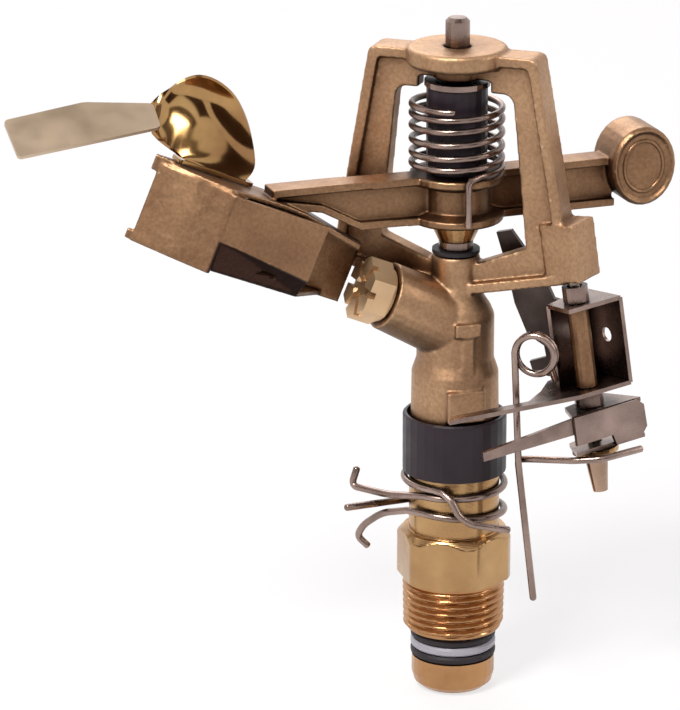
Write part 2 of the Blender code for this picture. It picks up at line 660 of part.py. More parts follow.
def counterweight():
    """The oval slug at the arm's tail, with a groove round each face."""
    def oval(shrink, depth):
        wide, tall = WEIGHT_WIDE / 2 - shrink, WEIGHT_TALL / 2 - shrink
        spots = []
        for k in range(28):
            angle = math.tau * k / 28
            spots.append((WEIGHT_X + wide * math.cos(angle), WEIGHT_Z + tall * math.sin(angle), depth))
        return spots
    half = WEIGHT_THICK / 2
    skin = [oval(1.9, -half + 0.9), oval(0.9, -half), oval(0, -half + 1.1)]
    skin += [oval(0, half - 1.1), oval(0.9, half), oval(1.9, half - 0.9)]
    return loft("counterweight", skin, None, ARM)


def stop_lug():
    """The lug behind the arm that strikes the bridge's left leg and ends the swing."""
    face = FLANGE_WIDTH / 2 + GAP + 0.1
    near, far = 24.5, 29.0
    across = (BRIDGE.to_3x3() @ Vector((0, 0, 1))) * face
    inner, outer = -outwards * near + across, -outwards * far + across
    outline = [(-28.5, 0.5), (-18.0, 0.5), (inner.x, inner.y), (outer.x, outer.y)]
    return prism("stop_lug", outline, STOP_LUG_BOTTOM, STOP_LUG_TOP, None)


def drive_spoon():
    """The channel at the arm's end that catches the jet and throws it sideways."""
    near, far, inner = SPOON_HALF + SPOON_SHEET / 2, -10.4, -8.8
    low, sheet, high = SPOON_BOTTOM, SPOON_SHEET, SPOON_TOP
    wall, skirt = [], []
    for x, wall_low, foot_y, foot_z in ((SPOON_START, -1.6, near - 3.2, low + 0.9), (SPOON_BEND, 1.4, near - 1.0, low + 0.4)):
        wall.append([(x, near, high), (x, near - sheet, high), (x, near - sheet, wall_low), (x, near, wall_low)])
        top = wall_low + 0.6
        skirt.append([(x, near, top), (x, near - sheet, top), (x, foot_y - sheet, foot_z), (x, foot_y, foot_z)])
    side = loft("spoon_near", wall, None, JET)
    hem = loft("spoon_hem", skirt, None, JET)
    turned_in = [(SPOON_BEND - 0.7, SPOON_HALF + 0.5), (SPOON_BEND + 8, 3.0), (SPOON_END, -3.8)]
    face = prism("spoon_face", ribbon(turned_in, sheet), low - 0.3, high + 0.3, None, JET)
    curl = ribbon([(SPOON_END - 3, -2.3), (SPOON_END + 1.5, -4.6)], sheet)
    lip = prism("spoon_lip", curl, high - 2.0, high + 2.0, None, JET)
    toe = prism("spoon_toe", curl, low - 0.1, low + 2.4, None, JET)
    away = JET @ frame_of((0, 0, 0), (1, 0, 0), (0, 0, 1))
    back = [(SPOON_FAR_START, low), (SPOON_FAR_END, low), (SPOON_FAR_END, high + 0.1), (30, high + 0.1), (20, 11.5)]
    back.append((SPOON_FAR_START, 9.7))
    rear = prism("spoon_far", back, -inner, -far, None, away)
    lid = []
    edge = [(12.0, 2.0, 10.4), (19.5, 4.0, 12.0), (29.4, 4.5, 14.0), (36.0, 5.1, SPOON_LID), (44.0, 6.0, SPOON_LID)]
    edge += [(49.0, 7.0, SPOON_LID), (52.5, 8.2, SPOON_LID), (60.0, 3.6, SPOON_LID), (66.5, -2.0, SPOON_LID)]
    for x, y, z in edge:
        rear_y = inner - 1.2
        lid.append([(x, y, z), (x, rear_y, z), (x, rear_y, z - sheet), (x, y, z - sheet)])
    top = loft("spoon_lid", lid, None, JET)
    floor = [(SPOON_START, near - 3.6), (SPOON_BEND, near - 1.6), (SPOON_BEND + 8, 3.6), (SPOON_END - 1.5, -3.2)]
    floor += [(SPOON_END - 6, inner - 0.8), (SPOON_FAR_START + 5, inner - 0.8)]
    bottom = prism("spoon_floor", floor, low + 0.2, low + sheet, None, JET)
    return side, hem, face, lip, toe, rear, top, bottom


def rivet_spot():
    """Where the vane's foot is riveted to the spoon's lid, along and across the jet."""
    return SPOON_FAR_END + 3.0, -7.6


def drive_arm():
    """Hub, two beams, counterweight, stop lug and spoon, cast in one."""
    hole = PIN_R + GAP
    section = [(hole, ARM_BOTTOM), (HUB_R - 0.5, ARM_BOTTOM), (HUB_R, ARM_BOTTOM + 0.5)]
    section += [(HUB_R, ARM_BOTTOM + HUB_RIM), (HUB_CORE_R, ARM_BOTTOM + HUB_RIM + 1.2)]
    section += [(HUB_CORE_R, ARM_TOP - HUB_RIM - 1.2), (HUB_R, ARM_TOP - HUB_RIM), (HUB_R, ARM_TOP - 0.4)]
    section += [(HUB_R - 0.4, ARM_TOP), (hole, ARM_TOP)]
    arm = turned("drive_arm", section, BRASS_CAST)
    inside = -PIN_R - 2.5
    left_top = [(inside, ARM_TOP - 0.1), (ARM_TIP_X + 14, ARM_TOP + 0.4), (ARM_TIP_X, ARM_TOP + 0.4)]
    left_low = [(inside, ARM_BOTTOM + 0.1), (ARM_KNEE_X, ARM_BOTTOM + 0.6), (ARM_KNEE_X - 10, ARM_BOTTOM + 6)]
    left_low.append((ARM_TIP_X, ARM_TOP - 4.2))
    tail = WEIGHT_X - WEIGHT_WIDE / 2 + 2
    right_top = [(-inside, ARM_TOP - 0.1), (tail, ARM_TOP + 0.5)]
    right_low = [(-inside, ARM_BOTTOM + 0.1), (tail, ARM_BOTTOM + 0.1)]
    join(arm, *arm_beam("fore", left_top, left_low), *arm_beam("tail", right_top, right_low))
    join(arm, counterweight(), stop_lug(), *drive_spoon())
    rivet_x, rivet_y = rivet_spot()
    drill = JET @ Matrix.Translation((rivet_x, rivet_y, 0))
    hole_through = disc("rivet_hole", VANE_RIVET_R + GAP, SPOON_LID - 3, SPOON_LID + 3, None, drill, 12)
    return cut(arm, hole_through)


def smooth_line(spots, steps):
    """Points on a smooth curve through given ones, with a number of steps between each two."""
    spots = [Vector(p) for p in spots]
    route = []
    for i in range(len(spots) - 1):
        before, start, end, after = spots[max(i - 1, 0)], spots[i], spots[i + 1], spots[min(i + 2, len(spots) - 1)]
        for k in range(steps):
            t = k / steps
            bend = 2 * before - 5 * start + 4 * end - after
            twist = 3 * (start - end) + after - before
            route.append(start + ((end - before) * t + bend * t**2 + twist * t**3) / 2)
    return route + [spots[-1]]


def bowl():
    """The vane's bowed sheet: a grid of points through the rows, given its thickness on the back."""
    across = 8
    near = smooth_line([row[0] for row in BOWL_ROWS], 2)
    far = smooth_line([row[1] for row in BOWL_ROWS], 2)
    depth = smooth_line([(row[2], 0, 0) for row in BOWL_ROWS], 2)
    deeper = Vector((0.3, 0.9, 0.3))
    grid = []
    for start, end, bow in zip(near, far, depth):
        row = []
        for k in range(across + 1):
            t = k / across
            row.append(start.lerp(end, t) + deeper * bow.x * math.sin(math.pi * t))
        grid.append(row)
    count = len(grid)
    points, faces = [], []
    for side in (0, 1):
        for i in range(count):
            for k in range(across + 1):
                down = grid[min(i + 1, count - 1)][k] - grid[max(i - 1, 0)][k]
                along = grid[i][min(k + 1, across)] - grid[i][max(k - 1, 0)]
                points.append(grid[i][k] + along.cross(down).normalized() * VANE_SHEET * side)
    wide = across + 1
    back = count * wide
    for i in range(count - 1):
        for k in range(across):
            a = i * wide + k
            faces.append([a, a + 1, a + wide + 1, a + wide])
            faces.append([back + a, back + a + wide, back + a + wide + 1, back + a + 1])
    rim = list(range(wide)) + [i * wide + across for i in range(1, count)]
    rim += [(count - 1) * wide + k for k in range(across - 1, -1, -1)] + [i * wide for i in range(count - 2, 0, -1)]
    for a, b in zip(rim, rim[1:] + rim[:1]):
        faces.append([a, b, back + b, back + a])
    return solid("splash_vane", points, faces, BRASS_POLISHED)


def splash_vane():
    """The polished sheet on the spoon's back: a bowl, a flat paddle and a riveted foot."""
    vane = bowl()
    near_right, far_right = Vector(BOWL_ROWS[0][0]), Vector(BOWL_ROWS[0][1])
    far_left, near_left = Vector(PADDLE_LEFT[0]), Vector(PADDLE_LEFT[1])
    up = (near_right - near_left).cross(far_left - near_left).normalized() * VANE_SHEET
    past = Vector((1.2, 0, 0.3))
    lower = [near_left, near_right + past, far_right + past, Vector(PADDLE_MIDDLE), far_left]
    paddle = loft("paddle", [[tuple(p) for p in lower], [tuple(p + up) for p in lower]], None)
    spot_x, spot_y = rivet_spot()
    seat = SPOON_LID + GAP
    foot_low, foot_high = (spot_x - 8, spot_y - 2.0, seat), (spot_x + 13, spot_y + 4.4, seat + VANE_SHEET)
    foot = box("vane_foot", foot_low, foot_high, None, JET)
    # The exact solver drops the bowl here.
    join(vane, paddle, foot, solver="MANIFOLD")
    drill = JET @ Matrix.Translation((spot_x, spot_y, 0))
    hole = disc("foot_hole", VANE_RIVET_R + GAP, seat - 1, seat + 3, None, drill, 12)
    head_low = seat + VANE_SHEET + GAP
    tail_high = SPOON_LID - SPOON_SHEET - GAP
    section = [(0, tail_high - 0.9), (VANE_RIVET_HEAD_R, tail_high - 0.6), (VANE_RIVET_HEAD_R, tail_high)]
    section += [(VANE_RIVET_R, tail_high), (VANE_RIVET_R, head_low), (VANE_RIVET_HEAD_R, head_low)]
    section += [(VANE_RIVET_HEAD_R * 0.8, head_low + 0.5), (0, head_low + 0.8)]
    turned("vane_rivet", section, BRASS_BRIGHT, drill, 12)
    return cut(vane, hole, solver="MANIFOLD")


# Corners of the housing's plates in the trip frame: the open side runs from A to B.
HOUSING_A = (0.3, -7.6)
HOUSING_B = (10.2, 4.4)
HOUSING_C = (-7.2, -1.6)
HOUSING_D = (-1.6, 12.6)


def pin_clearance(name, low, high):
    return disc(name, TRIP_PIN_R + GAP, low, high, None, TRIP, 12)


def trip_housing():
    """A folded steel box round the pin, open on one side, whose floor reaches past the body."""
    plan = [HOUSING_A, HOUSING_B, HOUSING_D, HOUSING_C]
    housing = prism("trip_housing", plan, HOUSING_TOP - HOUSING_SHEET, HOUSING_TOP, STEEL, TRIP)
    sheet = HOUSING_SHEET
    ceiling, ground = HOUSING_TOP - sheet / 2, HOUSING_BOTTOM + sheet / 2
    walls = ribbon([HOUSING_C, HOUSING_D, HOUSING_B], sheet)
    sides = prism("housing_walls", walls, ground, ceiling, None, TRIP)
    fork = [HOUSING_B, (HOUSING_D[0], HOUSING_D[1] + 0.5), (-9.0, 13.0), (-12.5, 6.0), (-11.5, -3.0)]
    fork += [(-12.0, -11.3), (-28.9, -22.6), (-28.2, -26.4), HOUSING_A]
    floor = prism("housing_floor", fork, HOUSING_BOTTOM, HOUSING_BOTTOM + sheet, None, TRIP)
    # The exact solver leaves open edges where the walls meet the floor.
    join(housing, sides, floor, solver="MANIFOLD")
    middle = (Vector(HOUSING_B) + Vector(HOUSING_D)) / 2
    along = (Vector(HOUSING_B) - Vector(HOUSING_D)).normalized()
    peep_at = TRIP @ Matrix.Translation((middle.x, middle.y, (HOUSING_TOP + HOUSING_BOTTOM) / 2 + 0.6))
    peep_at = peep_at @ frame_of((0, 0, 0), (along.x, along.y, 0), (0, 0, 1))
    peep = disc("housing_peephole", 1.9, -3, 3, None, peep_at, 12)
    pin_hole = pin_clearance("housing_pin_hole", HOUSING_BOTTOM - 1, HOUSING_TOP + 1)
    return cut(housing, peep, pin_hole, solver="MANIFOLD")


def striker():
    """The strip that rises from the housing behind the bridge, up to the arm's path."""
    back = HOUSING_D[1] - 4.4
    outline = [(-4.7, -23.5), (-4.7, -5.6), (-8.6, -4.2), (-10.6, 2.0), (-17.6, 14.2), (-21.6, 13.8), (-20.2, 5.0)]
    outline += [(-19.2, -5.0), (-16.8, -13.5), (-12.8, -16.5), (-12.6, -19.5), (-17.2, -20.5), (-16.6, -23.8)]
    outline += [(-11.0, -25.0), (-9.5, -23.8)]
    upright = TRIP @ frame_of((0, back, 0), (1, 0, 0), (0, 0, 1))
    return prism("reversing_striker", outline, -STRIKER_SHEET / 2, STRIKER_SHEET / 2, STEEL, upright)


def trip_lever():
    """The lower lever: a folded channel on the same pin with a finger that slopes down past the sleeve."""
    sheet = HOUSING_SHEET
    right, left = (11.6, 6.0), (-1.6, -9.9)
    plan = [left, right, (HOUSING_D[0] + 1.5, HOUSING_D[1] - 2.0), (HOUSING_C[0] + 1.0, HOUSING_C[1])]
    lever = prism("trip_lever", plan, LEVER_TOP - sheet, LEVER_TOP, STEEL, TRIP)
    lower = prism("lever_lower", plan, LEVER_BOTTOM, LEVER_BOTTOM + sheet, None, TRIP)
    slope = (Vector(right) - Vector(left)).normalized()
    upright = TRIP @ frame_of((*left, 0), (slope.x, slope.y, 0), (0, 0, 1))
    long = (Vector(right) - Vector(left)).length
    face = [(0, LEVER_TOP - 0.2), (0, LEVER_TOP - 7.6), (long * 0.52, LEVER_TOP - 7.4), (long * 0.56, LEVER_BOTTOM + 0.4)]
    face += [(long - 1.8, LEVER_BOTTOM + 0.4), (long + 0.4, LEVER_BOTTOM + 3.0), (long + 0.2, LEVER_TOP - 1.8)]
    face.append((long - 1.6, LEVER_TOP - 0.2))
    wall = prism("lever_wall", face, -0.1, sheet - 0.1, None, upright)
    ends = []
    for x, y, top, tall in ((-0.4, -7.8, LEVER_TOP - 0.5, 4.2), (-21.7, -23.2, LEVER_TOP - 4.6, 2.2)):
        side = Vector((0.553, -0.833, 0)) * 0.7
        here = Vector((x, y, top))
        low = here - Vector((0, 0, tall))
        ends.append([tuple(here + side), tuple(here - side), tuple(low - side), tuple(low + side)])
    join(lever, lower, wall, loft("lever_finger", ends, None, TRIP))
    return cut(lever, pin_clearance("lever_pin_hole", LEVER_BOTTOM - 1, LEVER_TOP + 1))


def trip_pin_stack():
    """The leaning pin with its conical foot, and the spacer and washer on it."""
    washer_top = LEVER_BOTTOM - GAP
    washer_bottom = washer_top - TRIP_WASHER_THICK
    collar = washer_bottom - GAP
    section = [(0, TRIP_PIN_TIP), (1.9, TRIP_PIN_TIP), (3.0, collar - 1.2), (3.0, collar), (TRIP_PIN_R, collar)]
    section += [(TRIP_PIN_R, LUG_TOP - 3), (0, LUG_TOP - 3)]
    turned("trip_pin", section, STEEL, TRIP, 16)
    hole = TRIP_PIN_R + GAP
    ring("trip_washer", hole, TRIP_WASHER_R, washer_bottom, washer_top, BRASS_BRIGHT, TRIP, 20)
    inner_low, inner_high = HOUSING_BOTTOM + HOUSING_SHEET + GAP, HOUSING_TOP - HOUSING_SHEET - GAP
    ring("trip_spacer", hole, SPACER_R, inner_low, inner_high, BRASS_CAST, TRIP, 16)
    between_low, between_high = LEVER_TOP + GAP, HOUSING_BOTTOM - GAP
    ring("lever_spacer", hole, SPACER_R + 1, between_low, between_high, STEEL, TRIP, 16)
    lug_low, lug_high = HOUSING_TOP + GAP, LUG_BOTTOM - 1.9
    ring("lug_spacer", hole, SPACER_R + 0.6, lug_low, lug_high, STEEL, TRIP, 16)


def trip_wire():
    """The spring wire: an eye in front of the housing and a hairpin that hangs in the collars' way."""
    eye_x, plane, eye_z = -10.1, -8.4, -14.5
    route = [Vector((eye_x + 3.6, plane + 3.4, HOUSING_BOTTOM + HOUSING_SHEET + 3.4))]
    for k in range(25):
        angle = math.radians(-50 + 590 * k / 24)
        across = plane + 2.2 - 2.2 * k / 24
        route.append(Vector((eye_x + WIRE_EYE_R * math.cos(angle), across, eye_z + WIRE_EYE_R * math.sin(angle))))
    across_z = LEVER_BOTTOM - TRIP_WIRE_R - 0.5
    hang = [(-18.0, plane, -43.0), (-18.8, plane, -79.0), (-19.6, plane + 2.3, -79.0)]
    hang += [(-18.9, plane + 2.4, across_z), (-16.0, plane + 2.4, across_z), (-3.0, -8.4, across_z)]
    hang += [(4.0, -7.6, across_z), (12.0, 0.2, across_z)]
    route += bent([tuple(route[-1]), *hang], 1.4, 3)[1:]
    wire("trip_wire", route, TRIP_WIRE_R, STEEL, TRIP, 1)


def trip_collar(name, sweep, heights, first, last):
    """A sprung wire ring, at the given heights along its sweep, with a bent wire end on each side."""
    loop = coil(BARREL_R + GAP + COLLAR_WIRE_R, 0, 0, sweep / 360, COLLAR_START)
    for k, spot in enumerate(loop):
        along = (len(heights) - 1) * k / (len(loop) - 1)
        step = min(int(along), len(heights) - 2)
        spot.z = heights[step] + (heights[step + 1] - heights[step]) * (along - step)
    wire(name, bent(first, 2.2, 3) + loop + bent(last, 2.2, 3), COLLAR_WIRE_R, STEEL, COLLARS)


def main():
    clear_scene()
    riser_nipple()
    bearing_tube()
    dust_sleeve()
    body_casting()
    nozzle()
    pivot_stack()
    arm_spring()
    drive_arm()
    splash_vane()
    trip_housing()
    striker()
    trip_lever()
    trip_pin_stack()
    trip_wire()
    trip_collar("upper_trip_collar", UPPER_SWEEP, UPPER_HEIGHTS, UPPER_FIRST, UPPER_LAST)
    trip_collar("lower_trip_collar", LOWER_SWEEP, LOWER_HEIGHTS, LOWER_FIRST, LOWER_LAST)


main()
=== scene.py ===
"""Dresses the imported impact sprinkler: materials, real thread, smooth wires and cast surfaces."""

import json
import math

import bmesh
import bpy
from mathutils import Matrix, Vector


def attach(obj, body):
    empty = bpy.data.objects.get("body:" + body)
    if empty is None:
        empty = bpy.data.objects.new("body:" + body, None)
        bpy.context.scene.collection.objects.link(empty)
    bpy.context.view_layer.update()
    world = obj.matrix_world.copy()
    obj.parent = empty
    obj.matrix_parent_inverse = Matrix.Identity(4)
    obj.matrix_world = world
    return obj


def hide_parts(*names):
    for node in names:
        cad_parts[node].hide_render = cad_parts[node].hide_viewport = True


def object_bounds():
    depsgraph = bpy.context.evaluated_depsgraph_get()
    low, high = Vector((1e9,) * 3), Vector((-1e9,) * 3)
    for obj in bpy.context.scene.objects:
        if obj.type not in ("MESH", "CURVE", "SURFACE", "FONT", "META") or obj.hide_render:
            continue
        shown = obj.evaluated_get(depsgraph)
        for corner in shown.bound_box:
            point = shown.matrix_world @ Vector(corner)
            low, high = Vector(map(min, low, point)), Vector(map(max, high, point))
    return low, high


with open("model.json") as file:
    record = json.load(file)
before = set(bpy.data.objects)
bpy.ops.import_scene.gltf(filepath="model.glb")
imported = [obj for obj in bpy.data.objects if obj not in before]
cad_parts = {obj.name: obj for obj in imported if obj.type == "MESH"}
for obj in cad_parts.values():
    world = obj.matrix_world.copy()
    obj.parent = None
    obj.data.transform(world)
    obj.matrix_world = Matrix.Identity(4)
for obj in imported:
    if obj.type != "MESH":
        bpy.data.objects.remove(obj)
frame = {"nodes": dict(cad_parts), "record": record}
cad_box = [list(corner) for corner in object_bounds()]

MM = 0.001  # new shapes are written in millimetres


# Camera at the photograph's angle

IMAGE_WIDTH = 680
FOCAL_PIXELS = 4715
SENSOR_WIDTH = 36
CLIP_END = 20
VIEW_TURN = math.radians(20)
VIEW_DROP = math.radians(18)
VIEW_DISTANCE = 1.2
VIEW_LEFT = 0.0293
VIEW_HEIGHT = 0.0592


def place_camera():
    sin_turn, cos_turn = math.sin(VIEW_TURN), math.cos(VIEW_TURN)
    sin_drop, cos_drop = math.sin(VIEW_DROP), math.cos(VIEW_DROP)
    right = Vector((cos_turn, -sin_turn, 0))
    ahead = Vector((sin_turn * cos_drop, cos_turn * cos_drop, -sin_drop))
    up = Vector((sin_turn * sin_drop, cos_turn * sin_drop, cos_drop))
    aim = Vector((0, 0, VIEW_HEIGHT)) - right * VIEW_LEFT
    data = bpy.data.cameras.new("camera")
    data.sensor_fit = "HORIZONTAL"
    data.sensor_width = SENSOR_WIDTH
    data.lens = FOCAL_PIXELS / IMAGE_WIDTH * SENSOR_WIDTH
    data.clip_end = CLIP_END
    camera = bpy.data.objects.new("camera", data)
    turned = Matrix((right, up, -ahead)).transposed().to_4x4()
    camera.matrix_world = Matrix.Translation(aim - ahead * VIEW_DISTANCE) @ turned
    bpy.context.scene.collection.objects.link(camera)
    bpy.context.scene.camera = camera


# Node helpers

NOISE_LOW, NOISE_HIGH = 0.3, 0.7  # most of a noise texture's values lie between these
BLACK, WHITE = (0, 0, 0), (1, 1, 1)


class Nodes:
    """Builds a node tree with short calls."""

    def __init__(self, tree):
        self.tree = tree

    def add(self, kind, **values):
        node = self.tree.nodes.new(kind)
        for key, value in values.items():
            setattr(node, key, value)
        return node

    def link(self, source, target):
        self.tree.links.new(source, target)

    def place(self):
        """The point's place on its object, in metres."""
        return self.add("ShaderNodeTexCoord").outputs["Object"]

    def noise(self, scale, detail=4.0, rough=0.55):
        made = self.add("ShaderNodeTexNoise")
        made.inputs["Scale"].default_value = scale
        made.inputs["Detail"].default_value = detail
        made.inputs["Roughness"].default_value = rough
        self.link(self.place(), made.inputs["Vector"])
        return made.outputs["Fac"]

    def ramp(self, factor, stops):
        made = self.add("ShaderNodeValToRGB")
        for element, (position, colour) in zip(made.color_ramp.elements, stops):
            element.position = position
            element.color = (*colour, 1)
        self.link(factor, made.inputs["Fac"])
        return made.outputs["Color"]

    def blotches(self, scale, detail, dark, light):
        return self.ramp(self.noise(scale, detail), [(NOISE_LOW, dark), (NOISE_HIGH, light)])

    def mix(self, factor, first, second, blend="MIX"):
        made = self.add("ShaderNodeMix", data_type="RGBA", blend_type=blend)
        for key, value in ((0, factor), (6, first), (7, second)):
            if isinstance(value, (int, float)):
                made.inputs[key].default_value = value
            elif isinstance(value, tuple):
                made.inputs[key].default_value = (*value, 1)
            else:
                self.link(value, made.inputs[key])
        return made.outputs[2]

    def compute(self, operation, first, second, third=None):
        made = self.add("ShaderNodeMath", operation=operation)
        self.link(first, made.inputs[0])
        for key, value in ((1, second), (2, third)):
            if isinstance(value, (int, float)):
                made.inputs[key].default_value = value
            elif value is not None:
                self.link(value, made.inputs[key])
        return made.outputs["Value"]

    def map_range(self, factor, low, high, start=0.0, end=1.0):
        """Takes what runs from low to high to what runs from start to end."""
        made = self.add("ShaderNodeMapRange")
        made.inputs["From Min"].default_value = low
        made.inputs["From Max"].default_value = high
        made.inputs["To Min"].default_value = start
        made.inputs["To Max"].default_value = end
        self.link(factor, made.inputs["Value"])
        return made.outputs["Result"]

    def bump(self, height, strength, distance, normal=None):
        made = self.add("ShaderNodeBump")
        made.inputs["Strength"].default_value = strength
        made.inputs["Distance"].default_value = distance
        self.link(height, made.inputs["Height"])
        if normal is not None:
            self.link(normal, made.inputs["Normal"])
        return made.outputs["Normal"]


def new_material(name, metallic, roughness):
    made = bpy.data.materials.new(name)
    made.use_nodes = True
    shader = made.node_tree.nodes["Principled BSDF"]
    shader.inputs["Metallic"].default_value = metallic
    shader.inputs["Roughness"].default_value = roughness
    return made, shader, Nodes(made.node_tree)


# The jet's line, which the drive spoon lies along

MOUTH = Vector((-19.2, 0, 77.2))
JET_RISE = math.radians(23)
JET_WAY = Vector((-math.cos(JET_RISE), 0, math.sin(JET_RISE)))
JET_UP = Vector((math.sin(JET_RISE), 0, math.cos(JET_RISE)))


def jet_point(along, across, above):
    """A point given along the jet, towards the viewer and above, in millimetres."""
    return MOUTH + JET_WAY * along + Vector((0, -1, 0)) * across + JET_UP * above


# Finishes

# Painted shade on the spoon's hem: where it lies, and its tone
HEM_START, HEM_END = 24.8, 51.6  # along the jet
WALL_FOOT_START, WALL_FOOT_HEIGHT, WALL_FOOT_SLOPE = 25, -1.6, 3.0 / 26.5
HEM_FARTHEST = -1  # along Y, clear of the spoon's far wall
HEM_BLUR = 0.0002
HEM_SHADE_TONE = (0.055, 0.028, 0.022)


def hem_tarnish(nodes):
    """1 where shade is painted on the spoon's hem, under its near wall's slanting foot and short of its
    face plate.
    """
    foot = WALL_FOOT_HEIGHT - WALL_FOOT_START * WALL_FOOT_SLOPE
    bounds = [(JET_UP - JET_WAY * WALL_FOOT_SLOPE, foot), (JET_WAY, HEM_END), (-JET_WAY, -HEM_START),
              (Vector((0, 1, 0)), HEM_FARTHEST)]
    spot = nodes.place()
    total = None
    for way, limit in bounds:
        along = nodes.add("ShaderNodeVectorMath", operation="DOT_PRODUCT")
        nodes.link(spot, along.inputs[0])
        along.inputs[1].default_value = way
        edge = (MOUTH.dot(way) + limit) * MM
        inside = nodes.map_range(along.outputs["Value"], edge - HEM_BLUR, edge + HEM_BLUR, 1.0, 0.0)
        total = inside if total is None else nodes.compute("MULTIPLY", total, inside)
    return total


HOLLOW_SHADE_SHARE = 0.45  # how much of its dark tone a metal keeps where shade is painted in its hollows and creases
# Painted highlight on outer edges; painted shade in creases, in hollows and on faces that look down
CREASE_SHADE_POINTINESS, EDGE_HIGHLIGHT_POINTINESS = (0.40, 0.49), (0.525, 0.66)
HOLLOW_SHADE_OPENNESS = (0.35, 0.92)
UNDERSIDE_SHADE_FACING = (0.24, 0.44)  # 0 faces down, 0.5 sideways
SPECK_SCALE, SPECK_TONE, SPECK_RANGE = 1100, (0.80, 0.78, 0.76), (0.35, 0.65)
WAVE_SCALE = 260
RING_DISTORTION, RING_STRENGTH, RING_DEPTH = 0.4, 0.25, 0.00004


def painted_edge_highlight_and_crease_shade(nodes, tone, edge, hollow_shade_tone):
    """Paints a highlight on outer edges by paling the tone, and paints shade in inner ones by darkening
    it.
    """
    pointed = nodes.add("ShaderNodeNewGeometry").outputs["Pointiness"]
    edge_highlight = nodes.ramp(pointed, list(zip(EDGE_HIGHLIGHT_POINTINESS, (BLACK, WHITE))))
    crease_shade = nodes.ramp(pointed, list(zip(CREASE_SHADE_POINTINESS, (WHITE, BLACK))))
    return nodes.mix(crease_shade, nodes.mix(edge_highlight, tone, edge), hollow_shade_tone)


def split_z(nodes, vector):
    split = nodes.add("ShaderNodeSeparateXYZ")
    nodes.link(vector, split.inputs["Vector"])
    return split.outputs["Z"]


def tinted_foot(nodes, tone, height, tint):
    """Tints what lies below a height."""
    below = nodes.compute("LESS_THAN", split_z(nodes, nodes.place()), height)
    return nodes.mix(below, tone, tint, "MULTIPLY")


# Painted shade: darkens the tone in hollows, where less light reaches
def sooty_hollows(nodes, tone, reach, hollow_shade_tone):
    hollow = nodes.add("ShaderNodeAmbientOcclusion", samples=6)
    hollow.inputs["Distance"].default_value = reach
    deep = nodes.ramp(hollow.outputs["AO"], list(zip(HOLLOW_SHADE_OPENNESS, (hollow_shade_tone, WHITE))))
    return nodes.mix(1.0, tone, deep, "MULTIPLY")


# Painted shade: darkens the tone on faces that look down
def dark_underside(nodes, tone, amount):
    facing = split_z(nodes, nodes.add("ShaderNodeTexCoord").outputs["Normal"])
    lifted = nodes.compute("MULTIPLY_ADD", facing, 0.5, 0.5)
    painted_shade_tone = nodes.ramp(lifted, list(zip(UNDERSIDE_SHADE_FACING, ((1 - amount,) * 3, WHITE))))
    return nodes.mix(1.0, tone, painted_shade_tone, "MULTIPLY")


def lathe_rings(nodes, scale, normal):
    rings = nodes.add("ShaderNodeTexWave", wave_type="BANDS", bands_direction="Z")
    rings.inputs["Scale"].default_value = scale
    rings.inputs["Distortion"].default_value = RING_DISTORTION
    nodes.link(nodes.place(), rings.inputs["Vector"])
    return nodes.bump(rings.outputs["Fac"], RING_STRENGTH, RING_DEPTH, normal)


def metal(name, dark, light, rough, grain, depth, blotch, edge=None, turning=0, soot=0.0, waves=0.0,
          underside=0.0, hem=False, foot=None):
    """A metal with blotches between two tones and a bump grain.

    rough is its range of roughness, grain and depth its bump, and blotch the scale of its blotches.
    edge is the tone of the painted highlight on outer edges, which also brings painted shade into
    creases, turning the scale of lathe rings, soot how far painted shade in hollows reaches, waves the
    depth of a cast surface, underside how much painted shade darkens faces that look down, hem the
    painted shade on the spoon's hem, and foot a height and the tint of what lies below it.
    """
    made, shader, nodes = new_material(name, 1.0, rough[0])
    hollow_shade_tone = tuple(c * HOLLOW_SHADE_SHARE for c in dark)
    tone = nodes.blotches(blotch, 5.0, dark, light)
    if edge:
        tone = painted_edge_highlight_and_crease_shade(nodes, tone, edge, hollow_shade_tone)
    if foot:
        tone = tinted_foot(nodes, tone, *foot)
    if soot:
        tone = sooty_hollows(nodes, tone, soot, hollow_shade_tone)
    if hem:
        tone = nodes.mix(hem_tarnish(nodes), tone, HEM_SHADE_TONE)
    if underside:
        tone = dark_underside(nodes, tone, underside)
    normal = nodes.bump(nodes.noise(grain, 3.0, 0.6), 1.0, depth)
    if waves:
        speck = nodes.ramp(nodes.noise(SPECK_SCALE, 2.0), list(zip(SPECK_RANGE, (SPECK_TONE, WHITE))))
        tone = nodes.mix(1.0, tone, speck, "MULTIPLY")
        normal = nodes.bump(nodes.noise(WAVE_SCALE, 2.0, 0.5), 1.0, waves, normal)
    if turning:
        normal = lathe_rings(nodes, turning, normal)
    sheen = nodes.map_range(nodes.noise(blotch * 3), NOISE_LOW, NOISE_HIGH, *rough)
    nodes.link(tone, shader.inputs["Base Color"])
    nodes.link(sheen, shader.inputs["Roughness"])
    nodes.link(normal, shader.inputs["Normal"])
    return made


DULL_BLOTCH, DULL_SHEEN, DULL_SPECULAR = 90, 260, 0.3


def dull(name, dark, light, rough, grain=2500):
    """A plastic or rubber with faint blotches and a fine texture."""
    made, shader, nodes = new_material(name, 0.0, rough[0])
    nodes.link(nodes.blotches(DULL_BLOTCH, 3.0, dark, light), shader.inputs["Base Color"])
    sheen = nodes.map_range(nodes.noise(DULL_SHEEN, 3.0), NOISE_LOW, NOISE_HIGH, *rough)
    nodes.link(sheen, shader.inputs["Roughness"])
    nodes.link(nodes.bump(nodes.noise(grain, 2.0), 1.0, 0.00001), shader.inputs["Normal"])
    shader.inputs["Specular IOR Level"].default_value = DULL_SPECULAR
    return made


def cast(name, dark, light, rough, **finish):
    return metal(name, dark, light, rough, 2600, 0.00003, 45, waves=0.00022, **finish)


def steel(name, dark, light, rough, **finish):
    return metal(name, dark, light, rough, 1800, 0.00001, 70, **finish)


CAST_DARK, CAST_LIGHT = (0.245, 0.132, 0.074), (0.375, 0.225, 0.125)

